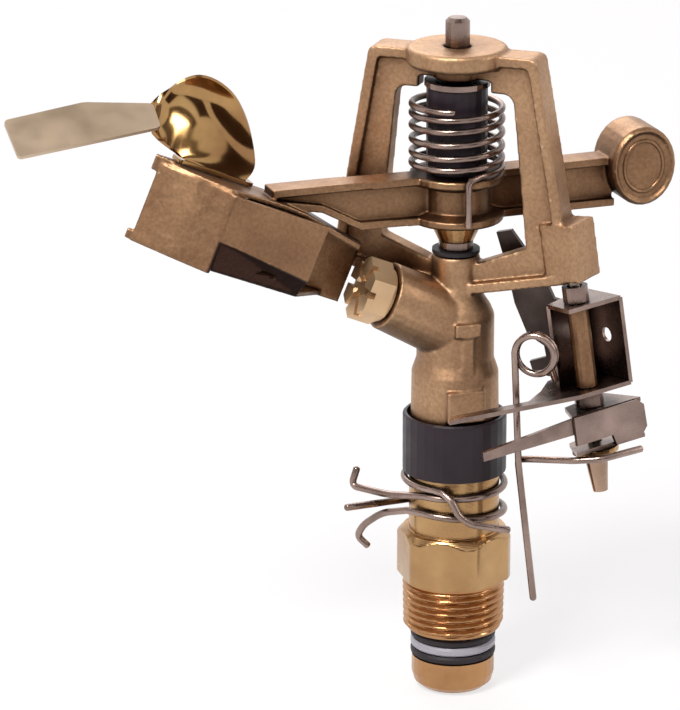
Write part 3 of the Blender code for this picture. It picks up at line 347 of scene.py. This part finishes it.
MATERIALS = {
    "cast_brass": cast("cast_brass", CAST_DARK, CAST_LIGHT, (0.32, 0.45), soot=0.006, underside=0.60),
    "turned_brass": metal("turned_brass", (0.37, 0.21, 0.095), (0.52, 0.325, 0.15), (0.17, 0.29),
                          1500, 0.00001, 80, turning=900, foot=(-0.0003, (0.98, 0.86, 0.84))),
    # The polished brass's blotches from dark brown to light are partly tarnish and partly painted
    # reflection bands
    "polished_brass": metal("polished_brass", (0.28, 0.142, 0.062), (0.50, 0.31, 0.125),
                            (0.09, 0.14), 300, 0.000004, 55),
    "stainless_steel": steel("stainless_steel", (0.18, 0.130, 0.111), (0.42, 0.308, 0.264),
                             (0.20, 0.34), soot=0.005),
    "black_plastic": dull("black_plastic", (0.012, 0.006, 0.010), (0.020, 0.012, 0.017), (0.34, 0.48)),
    "black_rubber": dull("black_rubber", (0.012, 0.009, 0.011), (0.026, 0.020, 0.024), (0.50, 0.62)),
    "white_plastic": dull("white_plastic", (0.27, 0.26, 0.30), (0.34, 0.33, 0.375), (0.30, 0.42), 1500),
}
OWN_FINISHES = {
    "drive_arm": cast("cast_brass_arm", CAST_DARK, CAST_LIGHT, (0.37, 0.50), edge=(0.56, 0.385, 0.24),
                      soot=0.014, underside=0.72, hem=True),
    "body_casting": cast("cast_brass_body", (0.36, 0.212, 0.124), (0.53, 0.335, 0.196), (0.43, 0.55),
                         edge=(0.62, 0.43, 0.27), soot=0.008, underside=0.60),
    "nozzle": metal("nozzle_brass", (0.60, 0.41, 0.24), (0.78, 0.55, 0.33), (0.46, 0.58),
                    2600, 0.00002, 60),
    # Painted shade: the reversing striker's steel is coloured near black for the shade it sits in behind
    # the arm
    "reversing_striker": steel("steel_painted_shade", (0.035, 0.025, 0.022), (0.085, 0.064, 0.057), (0.25, 0.38)),
    "trip_pin": steel("pin_steel", (0.17, 0.13, 0.115), (0.36, 0.285, 0.25), (0.18, 0.30),
                      foot=(0.0365, (1.45, 1.25, 1.02))),
}
PADDLE_FINISH = metal("brushed_paddle", (0.50, 0.385, 0.27), (0.62, 0.49, 0.36), (0.38, 0.50),
                      1800, 0.00002, 40)


# The CAD nodes: their finish and the rounding of their edges

CAD_SHARP = math.radians(32)
PIECE_SHARP = math.radians(38)
SAME_PLANE = math.radians(1)


def dress_cad():
    for subpart in frame["record"]["subparts"]:
        mesh = frame["nodes"][subpart["node"]].data
        mesh.materials.clear()
        mesh.materials.append(OWN_FINISHES.get(subpart["node"], MATERIALS[subpart["material_slot"]]))
        mesh.shade_smooth()
        mesh.set_sharp_from_angle(angle=CAD_SHARP)


def cast_surface(name, voxel, rounds):
    """Rounds a casting's corners as sand casting does, by remeshing and smoothing it."""
    node = frame["nodes"][name]
    remesh = node.modifiers.new("cast corners", "REMESH")
    remesh.mode = "VOXEL"
    remesh.voxel_size = voxel
    remesh.use_smooth_shade = True
    relax = node.modifiers.new("relaxed", "SMOOTH")
    relax.factor = 0.6
    relax.iterations = rounds


def soften_edges(names, width, flat):
    """Bevels what is sharp, so that edges catch the light. Flat faces are merged first."""
    for name in names:
        node = frame["nodes"][name]
        if flat:
            merge = node.modifiers.new("flat faces", "DECIMATE")
            merge.decimate_type = "DISSOLVE"
            merge.angle_limit = SAME_PLANE
        bevel = node.modifiers.new("soft edges", "BEVEL")
        bevel.width = width
        bevel.segments = 2
        bevel.limit_method = "ANGLE"
        bevel.angle_limit = PIECE_SHARP
        bevel.harden_normals = flat


# Helpers for new pieces

def new_piece(name, grown, slot, body, *nodes):
    """A piece from a bmesh, riding on a body in place of the named CAD nodes."""
    bmesh.ops.recalc_face_normals(grown, faces=grown.faces)
    mesh = bpy.data.meshes.new(name)
    grown.to_mesh(mesh)
    grown.free()
    piece = bpy.data.objects.new(name, mesh)
    bpy.context.scene.collection.objects.link(piece)
    mesh.materials.append(MATERIALS[slot])
    mesh.shade_smooth()
    mesh.set_sharp_from_angle(angle=PIECE_SHARP)
    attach(piece, body)
    if nodes:
        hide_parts(*nodes)
    return piece


def join_rings(grown, below, above):
    """Faces between two closed rings of as many points."""
    for k in range(len(below)):
        following = (k + 1) % len(below)
        grown.faces.new((below[k], below[following], above[following], above[k]))


def smooth_line(spots, steps):
    """Points on a smooth curve through given ones, with a number of steps between each two."""
    spots = [Vector(p) for p in spots]
    last = len(spots) - 1
    route = []
    for i in range(last):
        before, start, end, after = (spots[min(max(i + k, 0), last)] for k in (-1, 0, 1, 2))
        for k in range(steps):
            t = k / steps
            bend = 2 * before - 5 * start + 4 * end - after
            twist = 3 * (start - end) + after - before
            route.append(start + ((end - before) * t + bend * t**2 + twist * t**3) / 2)
    return route + [spots[-1]]


# The nipple, with its real helical thread

THREAD_R = 13.2
THREAD_LENGTH = 14.5
THREAD_PITCH = 1.81
THREAD_DEPTH = 0.95
THREAD_TAPER = 0.30
RIDGE_SLOPE, RIDGE_SINK = 1.35, 0.12  # flatten a V's crest and root
RUN_IN_FROM, RUN_IN_LENGTH = 0.5, 1.2
RUN_OUT_FROM, RUN_OUT_LENGTH = 1.1, 0.9
THREAD_ROWS = 96
FOOT_R = THREAD_R - 1.9
NECK_R = 13.05
NECK_FOOT = -0.9
HEX_FLATS = 27.0
HEX_CORNER_R = 14.7
HEX_HEIGHT = 13.0
HEX_TURN = math.radians(26.0)
HEX_FOOT_ROUND = ((0.0, 0.35), (0.12, 0.08), (0.4, 0.0))  # heights, and how far in from the face
CHAMFER_HEIGHT, CHAMFER_INSET, CHAMFER_SLOPE, CHAMFER_STEPS = 2.2, 0.35, 0.9, 8
BARREL_R = 11.6
BARREL_FOOT_ROUND = 0.25
BARREL_TOP = 30.5
BARREL_TOP_ROUND = ((0.6, 0.0), (0.15, 0.2), (0.0, 0.6))  # below the top, and how far in
NIPPLE_BORE_R = 8.9
AROUND = 120


def unit(value):
    return min(max(value, 0.0), 1.0)


def thread_radius(height, angle):
    """The nipple's radius in its threaded part: a rounded V wound round a slight cone."""
    turns_up = height / THREAD_PITCH - angle / math.tau
    ridge = 1 - abs(2 * (turns_up - math.floor(turns_up)) - 1)
    ridge = unit(ridge * RIDGE_SLOPE - RIDGE_SINK)
    run_in = unit((height + THREAD_LENGTH - RUN_IN_FROM) / RUN_IN_LENGTH)
    run_out = unit((-RUN_OUT_FROM - height) / RUN_OUT_LENGTH)
    taper = THREAD_TAPER * max(-height, 0.0) / THREAD_LENGTH
    return THREAD_R - THREAD_DEPTH - taper + THREAD_DEPTH * ridge * run_in * run_out


def hexagon_radius(angle):
    step = math.radians(60)
    off = (angle - HEX_TURN) % step - step / 2
    return min(HEX_FLATS / 2 / math.cos(off), HEX_CORNER_R)


def nipple():
    """One skin from the bore's foot, over thread, hexagon and barrel, and back down the bore."""
    def same(radius):
        return lambda angle: radius

    rows = [(-THREAD_LENGTH, same(NIPPLE_BORE_R)), (-THREAD_LENGTH, same(FOOT_R))]
    for k in range(THREAD_ROWS + 1):
        height = -THREAD_LENGTH + RUN_IN_FROM
        height += (THREAD_LENGTH - RUN_IN_FROM - RUN_OUT_FROM) * k / THREAD_ROWS
        rows.append((height, lambda a, h=height: thread_radius(h, a)))
    rows += [(NECK_FOOT, same(NECK_R)), (0.0, same(NECK_R))]
    for height, inset in HEX_FOOT_ROUND:
        rows.append((height, lambda a, i=inset: hexagon_radius(a) - i))
    for k in range(CHAMFER_STEPS + 1):
        drop = CHAMFER_HEIGHT * (1 - k / CHAMFER_STEPS)
        cone = HEX_FLATS / 2 - CHAMFER_INSET + drop * CHAMFER_SLOPE
        rows.append((HEX_HEIGHT - drop, lambda a, c=cone: min(hexagon_radius(a), c)))
    rows.append((HEX_HEIGHT, same(BARREL_R + BARREL_FOOT_ROUND)))
    rows.append((HEX_HEIGHT + BARREL_FOOT_ROUND, same(BARREL_R)))
    rows += [(BARREL_TOP - drop, same(BARREL_R - inset)) for drop, inset in BARREL_TOP_ROUND]
    rows.append((BARREL_TOP, same(NIPPLE_BORE_R)))
    grown = bmesh.new()
    rings = []
    for height, radius in rows:
        ring = []
        for k in range(AROUND):
            angle = math.tau * k / AROUND + HEX_TURN
            reach = radius(angle) * MM
            ring.append(grown.verts.new((reach * math.cos(angle), reach * math.sin(angle), height * MM)))
        rings.append(ring)
    for below, above in zip(rings, rings[1:] + rings[:1]):
        join_rings(grown, below, above)
    new_piece("threaded_nipple", grown, "turned_brass", "riser", "bearing_nipple")


# The splash vane, with a finely curved bowl

VANE_SHEET = 1.0
BOWL_ROWS = [  # the near and the far end of a row, and how deep it bows
    ((-78.1, 4.0, 124.4), (-77.2, 13.0, 128.2), 0.0),
    ((-76.7, 4.2, 122.5), (-72.8, 12.0, 132.2), 2.0),
    ((-74.6, 4.6, 120.4), (-64.2, 10.5, 135.3), 4.5),
    ((-72.6, 4.4, 118.8), (-56.9, 8.6, 131.0), 5.5),
    ((-71.4, 4.2, 117.6), (-52.9, 6.5, 122.5), 3.8),
    ((-70.6, 4.2, 116.6), (-51.8, 5.0, 113.2), 1.0),
    ((-69.4, 4.6, 115.2), (-54.6, 4.6, 109.2), 0.0),
]
BOWL_ACROSS, BOWL_STEPS = 32, 6
BOWL_BOW = Vector((0.3, 0.9, 0.3))
PADDLE_CORNERS = [(-113.7, 2.0, 121.0), (-76.6, 4.1, 124.7), (-75.8, 13.0, 128.4), (-93.7, 13.0, 130.3),
                  (-114.2, 12.8, 127.6)]
PLATE_CORNER_R = 1.1
# The vane's foot on the spoon's roof: along, across and above the jet
FOOT_LOW, FOOT_HIGH = (43.0, -9.6, 14.9), (64.0, -3.2, 15.9)


def sheet_plate(grown, outline, up):
    """A flat plate with rounded corners from an outline and its thickness."""
    low = [grown.verts.new(Vector(p) * MM) for p in outline]
    high = [grown.verts.new((Vector(p) + up) * MM) for p in outline]
    grown.faces.new(low)
    grown.faces.new(high)
    join_rings(grown, low, high)
    upright = [edge for vert in low for edge in vert.link_edges if edge.other_vert(vert) in high]
    bmesh.ops.bevel(grown, geom=upright, offset=PLATE_CORNER_R * MM, segments=4, affect="EDGES",
                    profile=0.5)


def bowl_grid():
    """The bowl's front skin as rows of points."""
    near = smooth_line([row[0] for row in BOWL_ROWS], BOWL_STEPS)
    far = smooth_line([row[1] for row in BOWL_ROWS], BOWL_STEPS)
    depth = smooth_line([(row[2], 0, 0) for row in BOWL_ROWS], BOWL_STEPS)
    grid = []
    for start, end, bow in zip(near, far, depth):
        shares = [k / BOWL_ACROSS for k in range(BOWL_ACROSS + 1)]
        grid.append([start.lerp(end, t) + BOWL_BOW * bow.x * math.sin(math.pi * t) for t in shares])
    return grid


def bowl_rim(skin):
    line = skin[0] + [row[-1] for row in skin[1:]]
    return line + skin[-1][-2::-1] + [row[0] for row in skin[-2:0:-1]]


def splash_vane():
    grid = bowl_grid()
    count = len(grid)
    grown = bmesh.new()
    skins = []
    for side in (0, 1):
        skin = []
        for i in range(count):
            line = []
            for k in range(BOWL_ACROSS + 1):
                down = grid[min(i + 1, count - 1)][k] - grid[max(i - 1, 0)][k]
                along = grid[i][min(k + 1, BOWL_ACROSS)] - grid[i][max(k - 1, 0)]
                spot = grid[i][k] + along.cross(down).normalized() * VANE_SHEET * side
                line.append(grown.verts.new(spot * MM))
            skin.append(line)
        skins.append(skin)
        for upper, lower in zip(skin, skin[1:]):
            for k in range(BOWL_ACROSS):
                grown.faces.new((upper[k], upper[k + 1], lower[k + 1], lower[k]))
    join_rings(grown, bowl_rim(skins[0]), bowl_rim(skins[1]))
    bowl_faces = len(grown.faces)
    corner, right, left = (Vector(PADDLE_CORNERS[k]) for k in (0, 1, -1))
    up = (right - corner).cross(left - corner).normalized() * VANE_SHEET
    sheet_plate(grown, PADDLE_CORNERS, up)
    grown.faces.ensure_lookup_table()
    for face in grown.faces[bowl_faces:]:
        face.material_index = 1
    (start, near, low), (end, far, high) = FOOT_LOW, FOOT_HIGH
    foot = [jet_point(x, y, low) for x, y in ((start, near), (end, near), (end, far), (start, far))]
    sheet_plate(grown, foot, JET_UP * (high - low))
    vane = new_piece("vane_sheet", grown, "polished_brass", "arm", "splash_vane")
    vane.data.materials.append(PADDLE_FINISH)


# The raised oval bead on each face of the counterweight

WEIGHT_CENTRE = (48.6, 106.0)  # X and Z
RING_HALF_WIDTH, RING_HALF_HEIGHT = 5.3, 6.6
RING_FACE = 6.05
BEAD_ACROSS, BEAD_RAISED = 0.5, 0.42
RING_STEPS, BEAD_STEPS = 72, 10


def counterweight_rings():
    for name, depth in (("weight_ring_front", -RING_FACE), ("weight_ring_back", RING_FACE)):
        grown = bmesh.new()
        rings = []
        for k in range(RING_STEPS):
            angle = math.tau * k / RING_STEPS
            out = Vector((math.cos(angle), 0, math.sin(angle)))
            middle = Vector((WEIGHT_CENTRE[0] + RING_HALF_WIDTH * out.x, depth,
                             WEIGHT_CENTRE[1] + RING_HALF_HEIGHT * out.z))
            ring = []
            for step in range(BEAD_STEPS):
                turn = math.tau * step / BEAD_STEPS
                raised = Vector((0, BEAD_RAISED * math.sin(turn), 0))
                spot = middle + out * BEAD_ACROSS * math.cos(turn) + raised
                ring.append(grown.verts.new(spot * MM))
            rings.append(ring)
        for here, ahead in zip(rings, rings[1:] + rings[:1]):
            join_rings(grown, here, ahead)
        new_piece(name, grown, "cast_brass", "arm")


# Spring wires, drawn as finely curved tubes

TUBE_SIDES = 14
TUBE_END = ((0.245, 0.92), (0.455, 0.72), (0.595, 0.40))  # a domed end: beyond the wire's, and radius
BEND_STEPS = 8
TURN_STEPS = 72
LEVEL_STEPS = 24


def tube(name, route, radius, body, node, frame_at=Matrix.Identity(4)):
    """A round wire swept along a route without twisting, with domed ends."""
    route = [frame_at @ Vector(p) for p in route]
    last = len(route) - 1
    ways = [(route[min(k + 1, last)] - route[max(k - 1, 0)]).normalized() for k in range(last + 1)]
    side = ways[0].orthogonal().normalized()
    stations = []
    for spot, way in zip(route, ways):
        side = (side - way * side.dot(way)).normalized()
        stations.append((spot, way, side, radius))

    def cap(station, sense):
        spot, way, across, _ = station
        return [(spot + way * sense * radius * out, way, across, radius * thin) for out, thin in TUBE_END]

    stations = cap(stations[0], -1)[::-1] + stations + cap(stations[-1], 1)
    grown = bmesh.new()
    rings = []
    for spot, way, across, reach in stations:
        up = way.cross(across)
        ring = []
        for k in range(TUBE_SIDES):
            angle = math.tau * k / TUBE_SIDES
            out = across * math.cos(angle) + up * math.sin(angle)
            ring.append(grown.verts.new((spot + out * reach) * MM))
        rings.append(ring)
    for below, above in zip(rings, rings[1:]):
        join_rings(grown, below, above)
    grown.faces.new(rings[0])
    grown.faces.new(rings[-1])
    new_piece(name, grown, "stainless_steel", body, node)


def turns(radius, heights, start, sweep):
    """Points round Z, at heights evenly spaced along the sweep, in degrees."""
    count = round(sweep / 360 * TURN_STEPS)
    levels = [level.x for level in smooth_line([(h, 0, 0) for h in heights], LEVEL_STEPS)]
    route = []
    for k in range(count + 1):
        angle = math.radians(start + sweep * k / count)
        at = (len(levels) - 1) * k / count
        low, high = levels[int(at)], levels[min(int(at) + 1, len(levels) - 1)]
        height = low + (high - low) * (at - int(at))
        route.append(Vector((radius * math.cos(angle), radius * math.sin(angle), height)))
    return route


def bent(corners, radius):
    """A route through corners, each rounded to a bend."""
    corners = [Vector(corner) for corner in corners]
    route = [corners[0]]
    for before, here, after in zip(corners, corners[1:], corners[2:]):
        back, ahead = before - here, after - here
        reach = min(radius, back.length / 2.2, ahead.length / 2.2)
        start, end = here + back.normalized() * reach, here + ahead.normalized() * reach
        for k in range(BEND_STEPS + 1):
            t = k / BEND_STEPS
            route.append(start * (1 - t) ** 2 + here * (2 * t * (1 - t)) + end * t**2)
    return route + [corners[-1]]


# The trip collars: a bent end, turns round the barrel, and the other bent end
COLLAR_FRAME = Matrix.Rotation(math.radians(-20), 4, "Z")
COLLAR_WIRE_R = 0.935
COLLAR_R = 12.85
COLLAR_START = -127
COLLAR_BEND = 2.6
UPPER_SWEEP, LOWER_SWEEP = 372, 264
UPPER_HEIGHTS = (24.6, 24.9, 25.3, 26.2, 26.9, 26.75)
UPPER_FIRST = ((-25.0, 3.2, 27.4), (-26.4, 3.2, 22.8), (-17.0, -3.3, 22.7), (-9.6, -8.9, 24.3))
UPPER_LAST = ((-3.2, -13.6, 26.7), (-1.0, -15.4, 25.2), (0.8, -15.9, 21.2), (3.8, -15.7, 19.0),
              (13.5, -13.0, 16.6))
LOWER_HEIGHTS = (19.9, 18.6, 17.4, 17.5)
LOWER_FIRST = ((-22.2, 0.6, 7.4), (-24.9, 1.8, 9.6), (-23.2, 0.9, 13.0), (-18.5, -2.3, 17.4),
               (-12.2, -6.9, 19.7))
LOWER_LAST = ((-10.2, 7.9, 17.7), (-27.5, -10.6, 21.8))


def collar(name, body, node, heights, sweep, first, last):
    ring = turns(COLLAR_R, heights, COLLAR_START, sweep)
    route = bent(first, COLLAR_BEND) + ring + bent(last, COLLAR_BEND)
    tube(name, route, COLLAR_WIRE_R, body, node, COLLAR_FRAME)


# The trip wire: its eye, and the hairpin that hangs from it and ends under the lever
TRIP_REACH = 31.6
TRIP_Z = 80.0
TRIP_LEAN = math.radians(8.25)
BRIDGE_TURN = math.radians(-40)
TRIP_WIRE_R = 0.885
TRIP_WIRE_BEND = 1.4
EYE_R = 5.1
EYE_X, EYE_PLANE, EYE_Z = -10.1, -8.4, -14.5
EYE_START, EYE_SWEEP, EYE_STEPS = -50, 590, 108
EYE_SPREAD = 2.2
EYE_TAIL = (EYE_X + 3.6, EYE_PLANE + 3.4, -22.1)
HAIRPIN_FOOT = -79.0
BACK_PLANE = EYE_PLANE + 2.4
UNDER_LEVER = -42.4
HAIRPIN = [(-18.0, EYE_PLANE, -43.0), (-18.8, EYE_PLANE, HAIRPIN_FOOT),
           (-19.6, EYE_PLANE + 2.3, HAIRPIN_FOOT), (-18.9, BACK_PLANE, UNDER_LEVER),
           (-16.0, BACK_PLANE, UNDER_LEVER), (-3.0, -8.4, UNDER_LEVER), (4.0, -7.6, UNDER_LEVER),
           (12.0, 0.2, UNDER_LEVER)]


def trip_frame():
    """The frame of the leaning trip pin: X away from the riser, Z along the pin."""
    outwards = Vector((math.cos(BRIDGE_TURN), math.sin(BRIDGE_TURN), 0))
    x_axis = outwards * math.cos(TRIP_LEAN) + Vector((0, 0, math.sin(TRIP_LEAN)))
    y_axis = Vector((0, 0, 1)).cross(outwards)
    axes = Matrix((x_axis, y_axis, x_axis.cross(y_axis))).transposed().to_4x4()
    return Matrix.Translation(outwards * TRIP_REACH + Vector((0, 0, TRIP_Z))) @ axes


def trip_wire():
    route = [Vector(EYE_TAIL)]
    for k in range(EYE_STEPS + 1):
        share = k / EYE_STEPS
        angle = math.radians(EYE_START + EYE_SWEEP * share)
        route.append(Vector((EYE_X + EYE_R * math.cos(angle), EYE_PLANE + EYE_SPREAD * (1 - share),
                             EYE_Z + EYE_R * math.sin(angle))))
    route += bent([route[-1], *HAIRPIN], TRIP_WIRE_BEND)[1:]
    tube("trip_spring_wire", route, TRIP_WIRE_R, "lever", "trip_wire", trip_frame())


# The arm's spring: a straight tang in the hub, then the coil
ARM_WIRE_R = 0.85
ARM_COIL_R = 11.35
ARM_COIL_FOOT = 109.15
ARM_COIL_PITCH = 2.84
ARM_COIL_TURNS = 5.9
ARM_COIL_START = -80
TANG_R = 13.15
TANG_TURN = math.radians(-98)
TANG_FOOT = 96.9


def arm_spring():
    top = ARM_COIL_FOOT + ARM_COIL_PITCH * ARM_COIL_TURNS
    coil = turns(ARM_COIL_R, (ARM_COIL_FOOT, top), ARM_COIL_START, 360 * ARM_COIL_TURNS)
    spot = Vector((TANG_R * math.cos(TANG_TURN), TANG_R * math.sin(TANG_TURN), 0))
    tang = [(0, 0, TANG_FOOT), (0, 0, ARM_COIL_FOOT - 1.6), (0.5, 0, ARM_COIL_FOOT - 0.4)]
    tube("arm_torsion_spring", [spot + Vector(p) for p in tang] + coil, ARM_WIRE_R, "arm", "arm_spring")


def wires():
    collar("upper_collar_wire", "upper_collar", "upper_trip_collar", UPPER_HEIGHTS, UPPER_SWEEP,
           UPPER_FIRST, UPPER_LAST)
    collar("lower_collar_wire", "lower_collar", "lower_trip_collar", LOWER_HEIGHTS, LOWER_SWEEP,
           LOWER_FIRST, LOWER_LAST)
    trip_wire()
    arm_spring()


# The studio: a pale floor and background, three lamps, and dark panels seen only in reflections

BACKDROP = (0.985, 0.975, 0.98)
SKY_LOW, SKY_HIGH = (0.36, (0.13, 0.115, 0.11)), (0.85, (0.62, 0.62, 0.64))
FLOOR_HALF = 3.0
FLOOR_DROP = 0.0005
FLOOR_TONE = (0.80, 0.79, 0.80)
FLOOR_GLOW = 0.72  # how much of the floor's look is the plain background
CENTRE = Vector((0, 0, 0.07))
LIGHTS = [  # name, place, size, watts, colour
    ("key", (-0.70, -0.55, 1.10), (0.40, 0.35), 20.0, (1.0, 0.98, 0.94)),
    ("fill", (0.95, -0.55, 0.55), (0.20, 0.5), 3.5, (1.0, 0.98, 0.95)),
    ("back", (0.1, 0.9, 0.8), (0.9, 0.5), 5.5, WHITE),
]
FLAGS = [  # name, place, size, colour
    ("front_flag_a", (-0.75, -1.40, 0.42), (1.00, 1.3), (0.055, 0.034, 0.026)),
    ("front_flag_b", (0.50, -1.45, 0.42), (0.65, 1.3), (0.055, 0.034, 0.026)),
    ("left_flag", (-1.20, -0.10, 0.85), (1.1, 0.7), (0.12, 0.09, 0.08)),
    ("right_flag", (1.20, -0.60, 0.55), (0.9, 1.1), (0.10, 0.075, 0.065)),
    ("top_flag", (0.10, -0.10, 1.50), (1.4, 1.1), (0.22, 0.19, 0.18)),
]
FLAG_CLOUD_SCALE, FLAG_CLOUD_GAIN = 1.5, 1.6


def aimed(place, axis):
    """The turn that points an axis from a place to the object's middle."""
    return (CENTRE - Vector(place)).to_track_quat(axis, "Y").to_euler()


def light(name, place, size, watts, colour):
    data = bpy.data.lights.new(name, "AREA")
    data.shape = "RECTANGLE"
    data.size, data.size_y = size
    data.energy = watts
    data.color = colour
    made = bpy.data.objects.new(name, data)
    made.location = place
    made.rotation_euler = aimed(place, "-Z")
    bpy.context.scene.collection.objects.link(made)


def seen_rays(nodes):
    """1 for the rays that show the background: those of the camera, of gloss and of glass."""
    path = nodes.add("ShaderNodeLightPath")
    total = path.outputs["Is Camera Ray"]
    for kind in ("Is Glossy Ray", "Is Transmission Ray"):
        total = nodes.compute("MAXIMUM", total, path.outputs[kind])
    return total


def panel(name, size, place):
    """A flat stage panel round its own middle."""
    wide, tall = size[0] / 2, size[1] / 2
    mesh = bpy.data.meshes.new(name)
    corners = [(-wide, -tall, 0), (wide, -tall, 0), (wide, tall, 0), (-wide, tall, 0)]
    mesh.from_pydata(corners, [], [(0, 1, 2, 3)])
    made = bpy.data.objects.new(name, mesh)
    made.location = place
    bpy.context.scene.collection.objects.link(made)
    return made


def flag(name, place, size, colour):
    """A dark panel that faces the object and shows only in its reflections."""
    made = panel(name, size, place)
    made.rotation_euler = aimed(place, "Z")
    made.visible_camera = False
    made.visible_shadow = False
    material = bpy.data.materials.new(name)
    material.use_nodes = True
    nodes = Nodes(material.node_tree)
    glow = nodes.add("ShaderNodeEmission")
    brighter = tuple(c * FLAG_CLOUD_GAIN for c in colour)
    nodes.link(nodes.blotches(FLAG_CLOUD_SCALE, 1.0, colour, brighter), glow.inputs["Color"])
    surface = material.node_tree.nodes["Material Output"].inputs["Surface"]
    nodes.link(glow.outputs["Emission"], surface)
    made.data.materials.append(material)


def sky():
    """A dim room for the light, and the plain background for what is seen."""
    world = bpy.data.worlds.new("studio")
    world.use_nodes = True
    nodes = Nodes(world.node_tree)
    height = split_z(nodes, nodes.add("ShaderNodeTexCoord").outputs["Generated"])
    room = nodes.ramp(nodes.map_range(height, -1.0, 1.0), [SKY_LOW, SKY_HIGH])
    background = world.node_tree.nodes["Background"]
    nodes.link(nodes.mix(seen_rays(nodes), room, BACKDROP), background.inputs["Color"])
    background.inputs["Strength"].default_value = 1.0
    bpy.context.scene.world = world


def floor():
    """A pale floor that keeps the object's shadow and meets the background without an edge."""
    made = panel("floor", (FLOOR_HALF * 2, FLOOR_HALF * 2), (0, 0, cad_box[0][2] - FLOOR_DROP))
    material, shader, nodes = new_material("floor", 0.0, 0.9)
    shader.inputs["Base Color"].default_value = (*FLOOR_TONE, 1)
    shader.inputs["Specular IOR Level"].default_value = 0.0
    glow = nodes.add("ShaderNodeEmission")
    glow.inputs["Color"].default_value = (*BACKDROP, 1)
    blend = nodes.add("ShaderNodeMixShader")
    nodes.link(nodes.compute("MULTIPLY", seen_rays(nodes), FLOOR_GLOW), blend.inputs["Fac"])
    nodes.link(shader.outputs["BSDF"], blend.inputs[1])
    nodes.link(glow.outputs["Emission"], blend.inputs[2])
    nodes.link(blend.outputs["Shader"], material.node_tree.nodes["Material Output"].inputs["Surface"])
    made.data.materials.append(material)


def studio():
    sky()
    floor()
    for values in LIGHTS:
        light(*values)
    for values in FLAGS:
        flag(*values)
    bpy.context.scene.view_settings.view_transform = "Standard"


FLAT_SHEETS = ("trip_housing", "trip_lever", "reversing_striker", "nozzle", "trip_pin", "fulcrum_pin")
ROUND_PARTS = ("dust_sleeve", "swivel_sleeve", "thrust_washer", "arm_bush", "rubber_washer")

place_camera()
dress_cad()
cast_surface("body_casting", 0.00038, 6)
cast_surface("drive_arm", 0.0003, 4)
soften_edges(FLAT_SHEETS, 0.00022, True)
soften_edges(ROUND_PARTS, 0.00025, False)
nipple()
splash_vane()
wires()
counterweight_rings()
studio()
